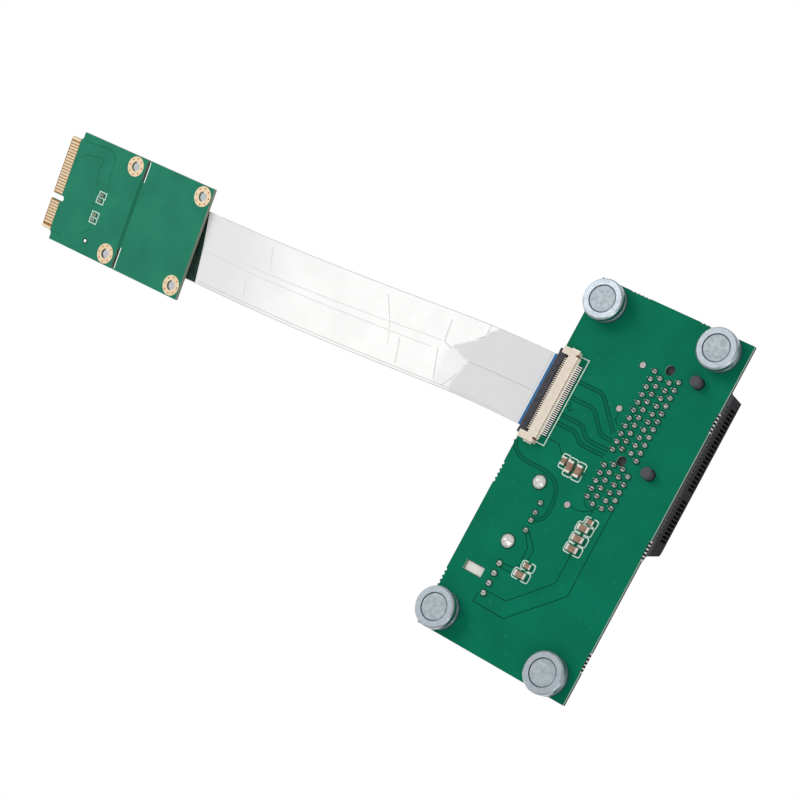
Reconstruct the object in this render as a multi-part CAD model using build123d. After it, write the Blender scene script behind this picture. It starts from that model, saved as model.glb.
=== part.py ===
from build123d import *
import math
import os

# Adapter between a small notebook-style card socket and a full-size expansion slot:
# a small card with gold fingers, a foil-wrapped flat cable, and a slot board seen solder side up.
# Millimetres. X runs along the cable towards the slot's mouth, Y along the board's long side,
# Z up. The model is built round the board's centre with Z = 0 on its solder side,
# then moved so that the origin is under the middle of all the rigid pieces.

# slot board
boardWidth = 41.4
boardLength = 90.0
boardThick = 1.2
biteRadius = 0.35
bitePitch = 1.1
biteCount = 5
# middles of the snapped tabs, from the board's corners
topTabs = (10.7, 29.7)
bottomTabs = (2.0, 33.0)
leftTabs = (50.8, 78.5)
rightTabs = (19.3, 51.3, 79.4)

# card-edge slot, laid on its side under the board
slotRowFromRight = 15.35
slotEndFromTop = 14.53
contactPitch = 1.0
contactsLong = 21
contactsShort = 11
keyGap = 3.0
rowNear = 1.25
rowFar = 3.25
slotHeight = 7.7
slotDepth = 10.9
slotMouthInset = 0.67
slotTopEnd = 3.3
slotBottomEnd = 4.4
slotFarTopEnd = 2.45
slotFarBottomEnd = 2.2
slotLedge = 2.6
slotCorner = 0.7
slotTailPlate = 1.1
slotTailPast = 1.1
slotTailGap = 0.1
slotGroove = 1.75
slotGrooveDepth = 8.6
slotGrooveEnd = 1.1
slotKeyRib = 1.75
contactWidth = 0.5
contactThick = 0.3
contactWallGap = 0.1
contactDepth = 1.9
contactBulge = 0.75
slotLip = 0.5
slotNotch = (0.9, 0.6)
slotWindow = 0.36
slotWindowFromMid = 1.35
pegRadius = 1.35
pegGap = 0.1
pegFromRow = 7.65
pegProud = 2.0
boreRadius = 1.2
pegFromEnd = 1.65

# through-hole joints
pinHole = 0.45
powerHole = 0.55
solderBase = 0.72
solderTip = 0.3
solderHeight = 0.95
legJointRadius = 1.7
legJointHeight = 1.4
legSlotGap = 0.1

# plug socket for the data lead
usbPinFromLeft = 13.27
usbFromCentre = -11.25
usbWidth = 13.1
usbHeight = 5.7
usbWall = 0.35
usbGap = 0.4
usbFlare = 0.7
usbBack = 1.0
usbPitches = (2.5, 2.0, 2.5)
usbLegSpan = 15.2
usbLegFromPins = 2.7
usbLeg = (1.2, 0.35)
usbTongue = (11.1, 1.85)
usbTongueShort = 1.6
usbStrip = (1.0, 0.2)
usbPin = 0.5

# power header
powerPinFromLeft = 11.4
powerFromCentre = -28.03
powerPitch = 2.54
powerPins = 4
powerPin = 0.6
powerWall = 1.0
powerWidth = 12.6
powerHeight = 6.4
powerBackGap = 1.5
powerFrontProud = 0.2
latchCut = (5.15, 2.5)
latchFromLeft = 3.66
latchRibGap = 0.15
latchRibHigh = 0.6

# flat-cable connector, one on the board and one under the card
ways = 36
wayPitch = 0.5
ffcBodyHalf = 11.7
ffcDepth = 4.9
ffcHeight = 2.0
ffcSill = 0.62
ffcShelf = 0.65
ffcTopFrom = 2.3
ffcNotch = 0.3
ffcEndWall = 0.78
ffcMouthDeep = 1.05
ffcMouthGap = 0.1
ffcRearEdge = 0.35
ffcTail = 1.4
ffcTailWidth = 0.25
ffcTailThick = 0.15
leverPivotX = 1.7
leverPivotZ = 1.55
leverThick = 0.8
leverTooth = 0.55
leverToothWidth = 0.24
leverToothThick = 0.3
leverToothGap = 0.05
leverEnd = 1.2
leverEndGap = 0.06
ffcFromTop = 29.85
anchorTab = (2.3, 0.4, 0.2)

# flat cable
cableWidth = 18.4
cableThick = 0.2
cableLead = 14.0
twistFrom = 0.12
stiffenerThick = 0.15
stiffenerInside = 2.2
stiffenerOutside = 1.8

# small card
cardWidth = 30.0
cardFar = 27.05
cardShoulder = 20.1
cardThick = 1.0
tongueHalf = 12.75
tongueLength = 3.8
tongueBevel = 0.25
shoulderFillet = 1.0
notchFrom = -3.85
notchWidth = 1.5
notchDepth = 4.2
fingerPitch = 0.8
fingerWidth = 0.56
fingerLength = 2.9
fingersLong = 18
fingersShort = 8
fingerFromNotch = 1.5
platingThick = 0.05
holeHalfSpan = 12.1
holeRow = 24.15
holeRadius = 1.3
ringRadius = 2.9
ringSides = 24
slitFrom = 3.7
slitWidth = 0.55
slitLength = 5.4
scoreWidth = 0.5
scoreDepth = 0.15
tinyHole = 0.5
tinyHolePlace = (-7.95, -11.37)
cardConnectorFromFar = 6.5
cardPlace = (-156.06, 8.95)
cardTwist = 12.7
cardPitch = 2.0
cardYaw = 1.2

# magnetic feet
footRadius = 4.95
footNeck = 4.5
footBase = 4.8
footBaseHeight = 0.9
footHeight = 4.0
footNeckHeight = 2.3
footEdge = 0.35
magnetPocket = 3.38
magnetRadius = 3.28
magnetHeight = 1.9
magnetEdge = 0.25
screwRadius = 1.2
screwGap = 0.1
screwBite = 1.5
screwHead = 2.3
screwHeadHeight = 1.6
screwEdge = 0.6
screwCross = (2.6, 0.5, 0.9)
# each foot's centre from its own corner: top left, top right, bottom left, bottom right
footInsets = ((4.44, 5.05), (6.36, 4.36), (3.95, 5.07), (6.24, 4.26))

# ceramic chips, each with its place and the turn of its length in degrees
chipEnd = 0.2
chipWaist = 0.96
smallChip = (2.0, 1.15, 0.8)
smallChipPlaces = [(-7.05, 3.1, 90), (5.9, -6.5, 0), (-2.6, -21.85, 0)]
largeChip = (3.0, 1.5, 0.95)
largeChipPlaces = [(-5.1, 2.5, 90), (-2.7, 2.45, 90), (5.25, -8.4, 0), (5.25, -11.05, 0),
                   (5.15, -13.65, 0), (-3.15, -24.3, 0)]
tinyChip = (1.0, 0.55, 0.4)
tinyChipPlaces = [(-7.3, 1.53, 0), (-7.55, 0.0, 0), (-7.55, -4.0, 0), (-7.6, -5.46, 0)]
testPadRadius = 0.75
testPads = [(-1.25, 30.6), (-1.3, 19.4), (-1.35, -5.3)]

left = -boardWidth / 2
right = boardWidth / 2
top = boardLength / 2
under = -boardThick
footPlaces = [
    (left + footInsets[0][0], top - footInsets[0][1]), (right - footInsets[1][0], top - footInsets[1][1]),
    (left + footInsets[2][0], footInsets[2][1] - top), (right - footInsets[3][0], footInsets[3][1] - top),
]
slotRowX = right - slotRowFromRight
slotFirstY = top - slotEndFromTop
slotMid = under - slotHeight / 2
floorZ = under - slotHeight


def block(x0, x1, y0, y1, z0, z1):
    """A box between two opposite corners."""
    return Pos((x0 + x1) / 2, (y0 + y1) / 2, (z0 + z1) / 2) * Box(abs(x1 - x0), abs(y1 - y0), abs(z1 - z0))


def prism(points, y0, y1):
    """A closed X-Z outline carried along Y."""
    outline = make_face(Polyline([(x, y0, z) for x, z in points], close=True))
    return extrude(outline, amount=y1 - y0, dir=(0, 1, 0))


def strip(points, thick, y, width):
    """A bent strip of even thickness that follows X-Z points, centred on y."""
    runs = [Vector(x1 - x0, 0, z1 - z0).normalized() for (x0, z0), (x1, z1) in zip(points, points[1:])]
    left_side, right_side = [], []
    for (x, z), before, after in zip(points, runs[:1] + runs, runs + runs[-1:]):
        n1 = Vector(-before.Z, 0, before.X)
        n2 = Vector(-after.Z, 0, after.X)
        mitre = (n1 + n2) * (thick / 2 / (1 + n1.dot(n2)))
        left_side.append((x + mitre.X, z + mitre.Z))
        right_side.append((x - mitre.X, z - mitre.Z))
    return prism(left_side + right_side[::-1], y - width / 2, y + width / 2)


def solder(x, y, base=solderBase, tip=solderTip, height=solderHeight):
    """A six-sided fillet that narrows to the clipped end of the pin."""
    slope = math.degrees(math.atan((base - tip) / height))
    return extrude(Pos(x, y, 0) * RegularPolygon(base, 6), amount=height, taper=slope)


def legSolder(x, y):
    """A large domed joint over a shield leg."""
    profile = Plane.XZ * make_face(Polyline([
        (0, 0), (legJointRadius, 0), (legJointRadius * 0.8, legJointHeight * 0.5),
        (legJointRadius * 0.3, legJointHeight), (0, legJointHeight),
    ], close=True))
    return Pos(x, y, 0) * revolve(profile, Axis.Z)


def contactYs():
    """Centres of the slot's contacts along Y, the long group first."""
    ys = [slotFirstY - i * contactPitch for i in range(contactsLong)]
    start = ys[-1] - keyGap
    return ys + [start - i * contactPitch for i in range(contactsShort)]


def pinRows():
    """X and Y of each slot pin, with the side of the slot that it serves."""
    pins = []
    for i, y in enumerate(contactYs()):
        step = i if i < contactsLong else i - contactsLong
        outer = step % 2 == 0 if i < contactsLong else step % 2 == 1
        row = rowFar if outer else rowNear
        pins.append((slotRowX + row, y, 1))
        pins.append((slotRowX - row, y, -1))
    return pins


keyY = slotFirstY - (contactsLong - 1) * contactPitch - keyGap / 2
slotLastY = contactYs()[-1]
slotMouth = right - slotMouthInset
slotBack = slotMouth - slotDepth
pegYs = [slotFirstY + pegFromEnd, keyY]
usbPinX = left + usbPinFromLeft
usbYs = [usbFromCentre + sum(usbPitches) / 2 - sum(usbPitches[:i]) for i in range(4)]
usbLegX = usbPinX - usbLegFromPins
usbLegYs = [usbFromCentre - usbLegSpan / 2, usbFromCentre + usbLegSpan / 2]
powerPinX = left + powerPinFromLeft
powerYs = [powerFromCentre + (i - (powerPins - 1) / 2) * powerPitch for i in range(powerPins)]
latchX = left + latchFromLeft


def edgeBites():
    """Half-round nicks where the board was snapped out of its panel."""
    tabs = [(left + d, top, 1, 0) for d in topTabs] + [(left + d, -top, 1, 0) for d in bottomTabs]
    tabs += [(left, top - d, 0, 1) for d in leftTabs] + [(right, top - d, 0, 1) for d in rightTabs]
    nicks = []
    for x, y, alongX, alongY in tabs:
        for i in range(biteCount):
            step = (i - (biteCount - 1) / 2) * bitePitch
            nicks.append(drill(x + step * alongX, y + step * alongY, biteRadius))
    return nicks


def drill(x, y, radius):
    return Pos(x, y, under / 2) * Cylinder(radius, boardThick * 2)


def pinDrill(x, y, size=pinHole):
    """A small plated hole, drawn six-sided."""
    return extrude(Pos(x, y, -boardThick * 1.5) * RegularPolygon(size, 6), amount=boardThick * 2)


def mainBoard():
    board = block(left, right, -top, top, under, 0)
    cuts = edgeBites()
    cuts += [pinDrill(x, y) for x, y, side in pinRows()]
    cuts += [pinDrill(usbPinX, y) for y in usbYs] + [pinDrill(powerPinX, y, powerHole) for y in powerYs]
    cuts += [drill(slotRowX + pegFromRow, y, pegRadius + pegGap) for y in pegYs]
    cuts += [drill(slotRowX, y, boreRadius) for y in pegYs]
    legLong, legThick = usbLeg
    for y in usbLegYs:
        cuts.append(block(usbLegX - legLong / 2 - legSlotGap, usbLegX + legLong / 2 + legSlotGap,
                          y - legThick / 2 - legSlotGap, y + legThick / 2 + legSlotGap, under - 1, 1))
    cuts += [drill(x, y, screwRadius + screwGap) for x, y in footPlaces]
    latchLong, latchWide = latchCut
    cuts.append(block(latchX, latchX + latchLong, powerFromCentre - latchWide / 2,
                      powerFromCentre + latchWide / 2, under - 1, 1))
    return board - cuts


def slotHousing():
    """Moulded slot with its mouth towards +X, a plate that guides the tails and two pegs."""
    upper = slotFirstY + slotTopEnd
    lower = slotLastY - slotBottomEnd
    farUpper = slotFirstY + slotFarTopEnd
    farLower = slotLastY - slotFarBottomEnd
    ledge = under - slotLedge
    outline = Polyline([(slotBack, y, z) for y, z in (
        (upper, under), (upper, under - slotLedge / 2), (farUpper, floorZ), (farLower + slotCorner, floorZ),
        (farLower, floorZ + slotCorner), (farLower - slotCorner / 2, ledge), (lower + slotCorner, ledge),
        (lower, ledge + slotCorner), (lower, under),
    )], close=True)
    body = extrude(make_face(outline), amount=slotDepth, dir=(1, 0, 0))
    tailEnd = slotRowX - rowFar - slotTailPast
    body += block(tailEnd, slotBack, farLower, upper, under - slotTailPlate, under)
    grooveTop = slotFirstY + slotGrooveEnd
    grooveEnd = slotLastY - slotGrooveEnd
    half = slotGroove / 2
    for y0, y1 in ((keyY + slotKeyRib / 2, grooveTop), (grooveEnd, keyY - slotKeyRib / 2)):
        body -= block(slotMouth - slotGrooveDepth, slotMouth + 1, y0, y1, slotMid - half, slotMid + half)
    cuts = []
    notchLong, notchWide = slotNotch
    channel = contactWidth / 2 + contactWallGap
    window = slotWindow / 2
    deep = contactDepth + contactThick / 2 + contactWallGap
    for y in contactYs():
        for side in (1, -1):
            cuts.append(block(slotBack - 1, slotMouth - slotLip, y - channel, y + channel,
                              slotMid + side * half * 0.9, slotMid + side * deep))
        cuts.append(block(slotMouth - notchLong, slotMouth + 1, y - notchWide / 2, y + notchWide / 2,
                          slotMid - half * 0.9, floorZ - 1))
        cuts.append(block(slotMouth - slotLip - 0.1, slotMouth + 1, y - window, y + window,
                          slotMid + slotWindowFromMid - window, slotMid + slotWindowFromMid + window))
    reach = contactThick / 2 + slotTailGap
    cuts += [block(x - reach, x + reach, y - channel, y + channel, under - slotTailPlate - 1, under + 1)
             for x, y, side in pinRows()]
    body -= cuts
    pegs = [Pos(slotRowX + pegFromRow, y, under) * Cylinder(
        pegRadius, boardThick + pegProud, align=(Align.CENTER, Align.CENTER, Align.MIN)) for y in pegYs]
    pegs = [chamfer(p.edges().group_by(Axis.Z)[-1], pegRadius * 0.4) for p in pegs]
    return body + pegs


def slotContacts(side):
    """Spring contacts on one side of the slot, each with its own pin up through the board."""
    tip = slotMouth - 1.0
    touch = slotMouth - 4.0
    heel = slotMouth - slotGrooveDepth
    level = slotMid + side * contactDepth
    strips = []
    for x, y, which in pinRows():
        if which == side:
            path = [(tip, slotMid + side * (contactBulge + 0.55)), (touch, slotMid + side * contactBulge),
                    (heel, level), (x, level), (x, 0)]
            strips.append(strip(path, contactThick, y, contactWidth))
    return strips


def usbShell():
    mouth = left
    back = usbPinX + usbBack
    halfW = usbWidth / 2
    high = under - usbGap
    low = high - usbHeight
    y0, y1 = usbFromCentre - halfW, usbFromCentre + halfW
    neck = mouth + usbFlare
    shell = block(neck, back, y0, y1, low, high)
    flareFace = Plane(origin=(neck, usbFromCentre, (high + low) / 2), x_dir=(0, 1, 0), z_dir=(-1, 0, 0))
    wide = usbFlare * 0.6
    flare = loft([
        flareFace * Rectangle(usbWidth, usbHeight),
        flareFace.offset(usbFlare) * Rectangle(usbWidth + 2 * wide, usbHeight + 2 * wide),
    ])
    inside = loft([
        flareFace * Rectangle(usbWidth - 2 * usbWall, usbHeight - 2 * usbWall),
        flareFace.offset(usbFlare) * Rectangle(usbWidth + 2 * wide - 2 * usbWall,
                                               usbHeight + 2 * wide - 2 * usbWall),
    ])
    hollow = block(neck, back - usbWall, y0 + usbWall, y1 - usbWall, low + usbWall, high - usbWall)
    shell = shell + flare - hollow - inside
    slotLow = block(back - 2.2, back - 0.8, usbYs[-1] - 0.6, usbYs[0] + 0.6, high - usbWall - 0.1, high + 0.1)
    shell -= slotLow
    legLong, legThick = usbLeg
    for y, edge in zip(usbLegYs, (y0, y1)):
        level = under - 2.2
        shell += block(usbLegX - legLong / 2, usbLegX + legLong / 2, y - legThick / 2, y + legThick / 2, level, 0)
        shell += block(usbLegX - legLong / 2, usbLegX + legLong / 2, min(y, edge) - 0.01,
                       max(y, edge) + 0.01, level, level + legThick)
    return shell


def usbInsert():
    """Moulded tongue with its block at the back of the shell."""
    back = usbPinX + usbBack - usbWall
    high = under - usbGap - usbWall
    low = under - usbGap - usbHeight + usbWall
    halfW = usbWidth / 2 - usbWall
    rear = block(usbPinX - 2.2, back, usbFromCentre - halfW, usbFromCentre + halfW, low, high)
    long, thick = usbTongue
    middle = (high + low) / 2 + 0.55
    tongue = block(left + usbTongueShort, usbPinX - 2.2, usbFromCentre - long / 2, usbFromCentre + long / 2,
                   middle - thick / 2, middle + thick / 2)
    insert = rear + tongue
    width, deep = usbStrip
    for y in usbYs:
        insert -= block(left + usbTongueShort + 0.6, back + 1, y - width / 2 - 0.02, y + width / 2 + 0.02,
                        middle - thick / 2 - 0.1, middle - thick / 2 + deep)
        insert -= block(usbPinX - usbPin / 2 - 0.05, back + 1, y - width / 2 - 0.02, y + width / 2 + 0.02,
                        middle - thick / 2 - 0.1, high + 1)
    return insert


def usbContacts():
    """Four flat springs along the tongue, each bent up into its pin."""
    high = under - usbGap - usbWall
    low = under - usbGap - usbHeight + usbWall
    width, deep = usbStrip
    level = (high + low) / 2 + 0.55 - usbTongue[1] / 2 + deep / 2
    strips = []
    for i, y in enumerate(usbYs):
        start = left + usbTongueShort + (0.8 if i in (0, 3) else 1.8)
        strips.append(strip([(start, level), (usbPinX, level), (usbPinX, 0)], deep, y, usbPin))
    return strips


def powerHeader():
    """White shroud, open at the board's edge, with a rib that stands in the board's latch cut-out."""
    back = powerPinX - powerBackGap
    mouth = left - powerFrontProud
    y0, y1 = powerFromCentre - powerWidth / 2, powerFromCentre + powerWidth / 2
    low = under - powerHeight
    body = block(mouth, back, y0, y1, low, under)
    body = chamfer(body.edges().filter_by(Axis.X).group_by(Axis.Z)[0], 1.2)
    body -= block(mouth - 1, back - powerWall * 1.6, y0 + powerWall, y1 - powerWall,
                  low + powerWall, under - powerWall)
    latchLong, latchWide = latchCut
    ribHalf = latchWide / 2 - latchRibGap
    body += block(latchX + latchRibGap, latchX + latchLong - latchRibGap, powerFromCentre - ribHalf,
                  powerFromCentre + ribHalf, under, under + latchRibHigh)
    level = under - powerHeight / 2
    for y in powerYs:
        body -= block(back - powerWall * 2, back + 1, y - powerPin / 2, y + powerPin / 2,
                      level - powerPin / 2, level + powerPin / 2)
    return body


def powerPinSet():
    level = under - powerHeight / 2
    return [strip([(left + 2.0, level), (powerPinX, level), (powerPinX, 0)], powerPin, y, powerPin)
            for y in powerYs]


def wayYs():
    """Middles of the connector's contacts across its width."""
    return [(i - (ways - 1) / 2) * wayPitch for i in range(ways)]


def ffcHousing():
    """Connector body: cable enters at x = 0, solder tails leave past x = ffcDepth."""
    half = ffcBodyHalf
    base = block(ffcShelf, ffcDepth, -half, half, 0, ffcSill)
    cover = block(ffcTopFrom, ffcDepth, -half, half, ffcSill, ffcHeight)
    cover -= block(ffcTopFrom - 1, ffcTopFrom + ffcMouthDeep, -cableWidth / 2 - ffcMouthGap,
                   cableWidth / 2 + ffcMouthGap, ffcSill, ffcSill + cableThick + stiffenerThick + ffcMouthGap)
    ends = [block(ffcShelf, ffcTopFrom, s * (half - ffcEndWall), s * half, ffcSill, ffcHeight) for s in (1, -1)]
    body = base + cover + ends
    rearEdge = body.edges().filter_by(Axis.Y).group_by(Axis.Z)[-1].sort_by(Axis.X)[-1]
    body = chamfer(rearEdge, ffcRearEdge)
    cuts = [block(ffcDepth - 0.7, ffcDepth + 0.1, s * (half - 0.9), s * (half - 1.7), -0.1, 1.1) for s in (1, -1)]
    reach = ffcTopFrom + ffcNotch
    lug = ffcBodyHalf - ffcEndWall - leverEndGap
    wide = leverToothWidth / 2 + leverToothGap
    cuts += [block(ffcTopFrom - 0.1, reach, y - wide, y + wide, ffcSill, ffcHeight + 1) for y in wayYs()]
    cuts += [block(ffcTopFrom - 0.1, reach, s * (lug + leverToothGap), s * (lug - leverEnd - leverToothGap),
                   ffcSill, ffcHeight + 1) for s in (1, -1)]
    return body - cuts


def ffcLever():
    """Flip-up lock bar, rounded about its pivot, with a comb that turns between the contacts."""
    half = ffcBodyHalf - ffcEndWall - leverEndGap
    low = leverPivotZ - leverThick / 2
    bar = prism([(0, low + 0.25), (0.25, low), (leverPivotX, low), (leverPivotX, low + leverThick),
                 (0.2, low + leverThick), (0, low + leverThick - 0.2)], -half, half)
    bar += Pos(leverPivotX, 0, leverPivotZ) * Rot(90, 0, 0) * Cylinder(leverThick / 2, half * 2)
    reach = leverPivotX + leverTooth
    z0, z1 = leverPivotZ - leverToothThick / 2, leverPivotZ + leverToothThick / 2
    teeth = [block(leverPivotX, reach, y - leverToothWidth / 2, y + leverToothWidth / 2, z0, z1) for y in wayYs()]
    teeth += [block(leverPivotX, reach, s * half, s * (half - leverEnd), z0, z1) for s in (1, -1)]
    return bar + teeth


def ffcContacts():
    return [block(ffcDepth, ffcDepth + ffcTail, y - ffcTailWidth / 2, y + ffcTailWidth / 2, 0, ffcTailThick)
            for y in wayYs()]


def ffcAnchors():
    long, wide, high = anchorTab
    return [block(ffcDepth - 0.8 - long, ffcDepth - 0.8, s * ffcBodyHalf, s * (ffcBodyHalf + wide), 0, high)
            for s in (1, -1)]


def stiffener():
    low = ffcSill + cableThick
    return block(-stiffenerOutside, stiffenerInside, -cableWidth / 2, cableWidth / 2, low, low + stiffenerThick)


def cardBoard():
    """Small card, with the middle of its near hole pair on the top face as its origin."""
    half = cardWidth / 2
    tip = -cardShoulder - tongueLength
    outline = Polyline([
        (cardFar, -half), (cardFar, half), (-cardShoulder, half), (-cardShoulder, tongueHalf),
        (tip, tongueHalf), (tip, -tongueHalf), (-cardShoulder, -tongueHalf), (-cardShoulder, -half),
    ], close=True)
    card = extrude(Pos(0, 0, -cardThick) * make_face(outline), amount=cardThick)
    corners = card.edges().filter_by(Axis.Z).filter_by(
        lambda e: abs(e.center().X + cardShoulder) < 0.01 and abs(e.center().Y) < half - 1)
    card = fillet(corners, shoulderFillet)
    card = chamfer(card.edges().filter_by(Axis.Y).group_by(Axis.X)[0], tongueBevel)
    cuts = [block(tip - 1, tip + notchDepth - notchWidth / 2, notchFrom - notchWidth / 2,
                  notchFrom + notchWidth / 2, -2, 1),
            Pos(tip + notchDepth - notchWidth / 2, notchFrom, 0) * Cylinder(notchWidth / 2, 4)]
    cuts += [Pos(x, s * holeHalfSpan, 0) * Cylinder(holeRadius, 4) for x in (0, holeRow) for s in (1, -1)]
    cuts += [block(slitFrom - slitWidth / 2, slitFrom + slitWidth / 2, s * (half + 1), s * (half - slitLength),
                   -2, 1) for s in (1, -1)]
    cuts.append(block(slitFrom - scoreWidth / 2, slitFrom + scoreWidth / 2, -half + slitLength,
                      half - slitLength, -scoreDepth, 1))
    cuts.append(Pos(tinyHolePlace[0], tinyHolePlace[1], 0) * Cylinder(tinyHole, 4))
    return card - cuts


def cardFingers():
    tip = -cardShoulder - tongueLength + tongueBevel
    ys = [notchFrom + fingerFromNotch + i * fingerPitch for i in range(fingersLong)]
    ys += [notchFrom - fingerFromNotch - i * fingerPitch for i in range(fingersShort)]
    pads = []
    for y in ys:
        for z0 in (0, -cardThick - platingThick):
            pads.append(block(tip, tip + fingerLength, y - fingerWidth / 2, y + fingerWidth / 2,
                              z0, z0 + platingThick))
    return pads


def cardRings():
    """Gold rings round the holes on both faces, drawn with straight sides."""
    ring = RegularPolygon(ringRadius, ringSides) - RegularPolygon(holeRadius, ringSides, major_radius=False)
    return [Pos(x, s * holeHalfSpan, z) * extrude(ring, amount=platingThick)
            for x in (0, holeRow) for s in (1, -1) for z in (0, -cardThick - platingThick)]


def chipBodies(places, size):
    """Brown ceramic middles."""
    long, wide, high = size
    middle = long * (1 - 2 * chipEnd)
    return [Pos(x, y, high * chipWaist / 2) * Rot(0, 0, turn) * Box(middle, wide * chipWaist, high * chipWaist)
            for x, y, turn in places]


def chipEnds(places, size):
    """Tinned end caps, a little larger than the ceramic."""
    long, wide, high = size
    end = long * chipEnd
    return [Pos(x, y, high / 2) * Rot(0, 0, turn) * Pos(s * (long - end) / 2, 0, 0) * Box(end, wide, high)
            for x, y, turn in places for s in (1, -1)]


def footCup():
    """Turned steel cup: base, waist and head, a pocket for the magnet and a tapped hole below."""
    floor = footHeight - magnetHeight
    profile = Polyline([
        (screwRadius + screwGap, 0), (footBase, 0), (footBase, footBaseHeight), (footNeck, footBaseHeight),
        (footNeck, footNeckHeight), (footRadius, footNeckHeight), (footRadius, footHeight - footEdge),
        (footRadius - footEdge, footHeight), (magnetPocket, footHeight), (magnetPocket, floor), (0, floor),
        (0, screwBite), (screwRadius + screwGap, screwBite),
    ], close=True)
    return revolve(Plane.XZ * make_face(profile), Axis.Z)


def footMagnet():
    disc = Pos(0, 0, footHeight - magnetHeight / 2) * Cylinder(magnetRadius, magnetHeight)
    return chamfer(disc.edges().group_by(Axis.Z)[-1], magnetEdge)


def footScrew():
    """Pan-head screw from the parts side, with a cross recess."""
    low = under - screwHeadHeight
    profile = Polyline([
        (0, screwBite), (screwRadius, screwBite), (screwRadius, under), (screwHead, under),
        (screwHead, low + screwEdge), (screwHead - screwEdge, low), (0, low),
    ], close=True)
    screw = revolve(Plane.XZ * make_face(profile), Axis.Z)
    long, wide, deep = screwCross
    for turn in (0, 90):
        screw -= Rot(0, 0, turn) * block(-long / 2, long / 2, -wide / 2, wide / 2, low - 1, low + deep)
    return screw


def testPadSet():
    return [extrude(Pos(x, y, 0) * RegularPolygon(testPadRadius, 16), amount=platingThick) for x, y in testPads]


# places of the two connectors and of the card
boardConnector = Pos(left + 0.06, top - ffcFromTop, 0)
cardConnector = Pos(cardFar - cardConnectorFromFar, 0, -cardThick) * Rot(0, 180, 0)
cardTurn = Rot(0, 0, cardYaw) * Rot(0, -cardPitch, 0) * Rot(cardTwist, 0, 0)


def cardPose():
    """The card lies with its lowest points on the surface under the slot."""
    lowest = min((cardTurn * solid).bounding_box().min.Z
                 for solid in (cardBoard(), cardConnector * ffcHousing(), Compound(children=cardFingers())))
    return Pos(cardPlace[0], cardPlace[1], floorZ - lowest) * cardTurn


card = cardPose()

# the cable's middle line, from inside the card's connector to inside the board's;
# its first and last runs point straight out of the two connectors
cableLevel = ffcSill + cableThick / 2


def outOf(place, reach):
    """A point on a connector's cable line, at a distance out of its mouth."""
    spot = (place * Pos(-reach, 0, cableLevel)).position
    return (spot.X, spot.Y, spot.Z)


cableRoute = [
    outOf(card * cardConnector, -stiffenerInside),
    outOf(card * cardConnector, cableLead),
    (-101.1, 10.85, -4.6),
    (-79.5, 12.1, -3.8),
    (-57.8, 13.5, -1.1),
    outOf(boardConnector, cableLead),
    outOf(boardConnector, -stiffenerInside),
]


def routeRadii(points):
    """Largest tangent arc that the two runs beside each corner allow."""
    radii = []
    for a, b, c in zip(points, points[1:], points[2:]):
        before = Vector(*b) - Vector(*a)
        after = Vector(*c) - Vector(*b)
        turn = math.radians(before.get_angle(after))
        radii.append(0.45 * min(before.length, after.length) / math.tan(turn / 2))
    return radii


def flatCable():
    """A thin strip along the route that untwists from the card's lean to the board's level."""
    radii = routeRadii(cableRoute)
    print("cable radii", [round(r, 1) for r in radii])
    path = FilletPolyline(*cableRoute, radius=radii)
    sections = []
    count = 14
    for i in range(count + 1):
        t = i / count
        turn = min(max((t - twistFrom) / (1 - 2 * twistFrom), 0), 1)
        ease = 1 - turn * turn * (3 - 2 * turn)
        along = path % t
        level = Vector(0, 0, 1).cross(along).normalized()
        lean = math.radians(cardTwist) * ease
        side = level * math.cos(lean) + along.cross(level) * math.sin(lean)
        sections.append(Plane(origin=path @ t, x_dir=side, z_dir=along) * Rectangle(cableWidth, cableThick))
    cable = loft(sections, ruled=True)
    print("cable length", round(path.length, 2), "volume over section times length",
          round(cable.volume / (cableWidth * cableThick * path.length), 4))
    return cable


def solderSet(places, **sizes):
    return [solder(x, y, **sizes) for x, y in places]


parts = {
    "main_board": mainBoard(),
    "slot_housing": slotHousing(),
    "slot_contacts_near": slotContacts(1),
    "slot_contacts_far": slotContacts(-1),
    "slot_solder": solderSet([(x, y) for x, y, side in pinRows()]),
    "usb_shell": usbShell(),
    "usb_tongue": usbInsert(),
    "usb_contacts": usbContacts(),
    "usb_solder": solderSet([(usbPinX, y) for y in usbYs]),
    "usb_leg_solder": [legSolder(usbLegX, y) for y in usbLegYs],
    "power_header": powerHeader(),
    "power_pins": powerPinSet(),
    "power_solder": solderSet([(powerPinX, y) for y in powerYs], base=0.85),
    "test_pads": testPadSet(),
    "capacitor_bodies": chipBodies(smallChipPlaces, smallChip) + chipBodies(largeChipPlaces, largeChip),
    "capacitor_ends": chipEnds(smallChipPlaces, smallChip) + chipEnds(largeChipPlaces, largeChip),
    "board_connector_housing": boardConnector * ffcHousing(),
    "board_connector_lever": boardConnector * ffcLever(),
    "board_connector_contacts": [boardConnector * c for c in ffcContacts()],
    "board_connector_anchors": [boardConnector * a for a in ffcAnchors()],
    "cable_stiffener_board": boardConnector * stiffener(),
    "flat_cable": flatCable(),
    "cable_stiffener_card": card * cardConnector * stiffener(),
    "card_board": card * cardBoard(),
    "card_fingers": [card * f for f in cardFingers()],
    "card_ring_pads": [card * r for r in cardRings()],
    "card_chip_bodies": [card * b for b in chipBodies(tinyChipPlaces, tinyChip)],
    "card_chip_ends": [card * e for e in chipEnds(tinyChipPlaces, tinyChip)],
    "card_connector_housing": card * cardConnector * ffcHousing(),
    "card_connector_lever": card * cardConnector * ffcLever(),
    "card_connector_contacts": [card * cardConnector * c for c in ffcContacts()],
    "card_connector_anchors": [card * cardConnector * a for a in ffcAnchors()],
}
for number, (x, y) in enumerate(footPlaces, 1):
    parts[f"foot_cup_{number}"] = Pos(x, y, 0) * footCup()
    parts[f"foot_magnet_{number}"] = Pos(x, y, 0) * footMagnet()
    parts[f"foot_screw_{number}"] = Pos(x, y, 0) * footScrew()

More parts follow.
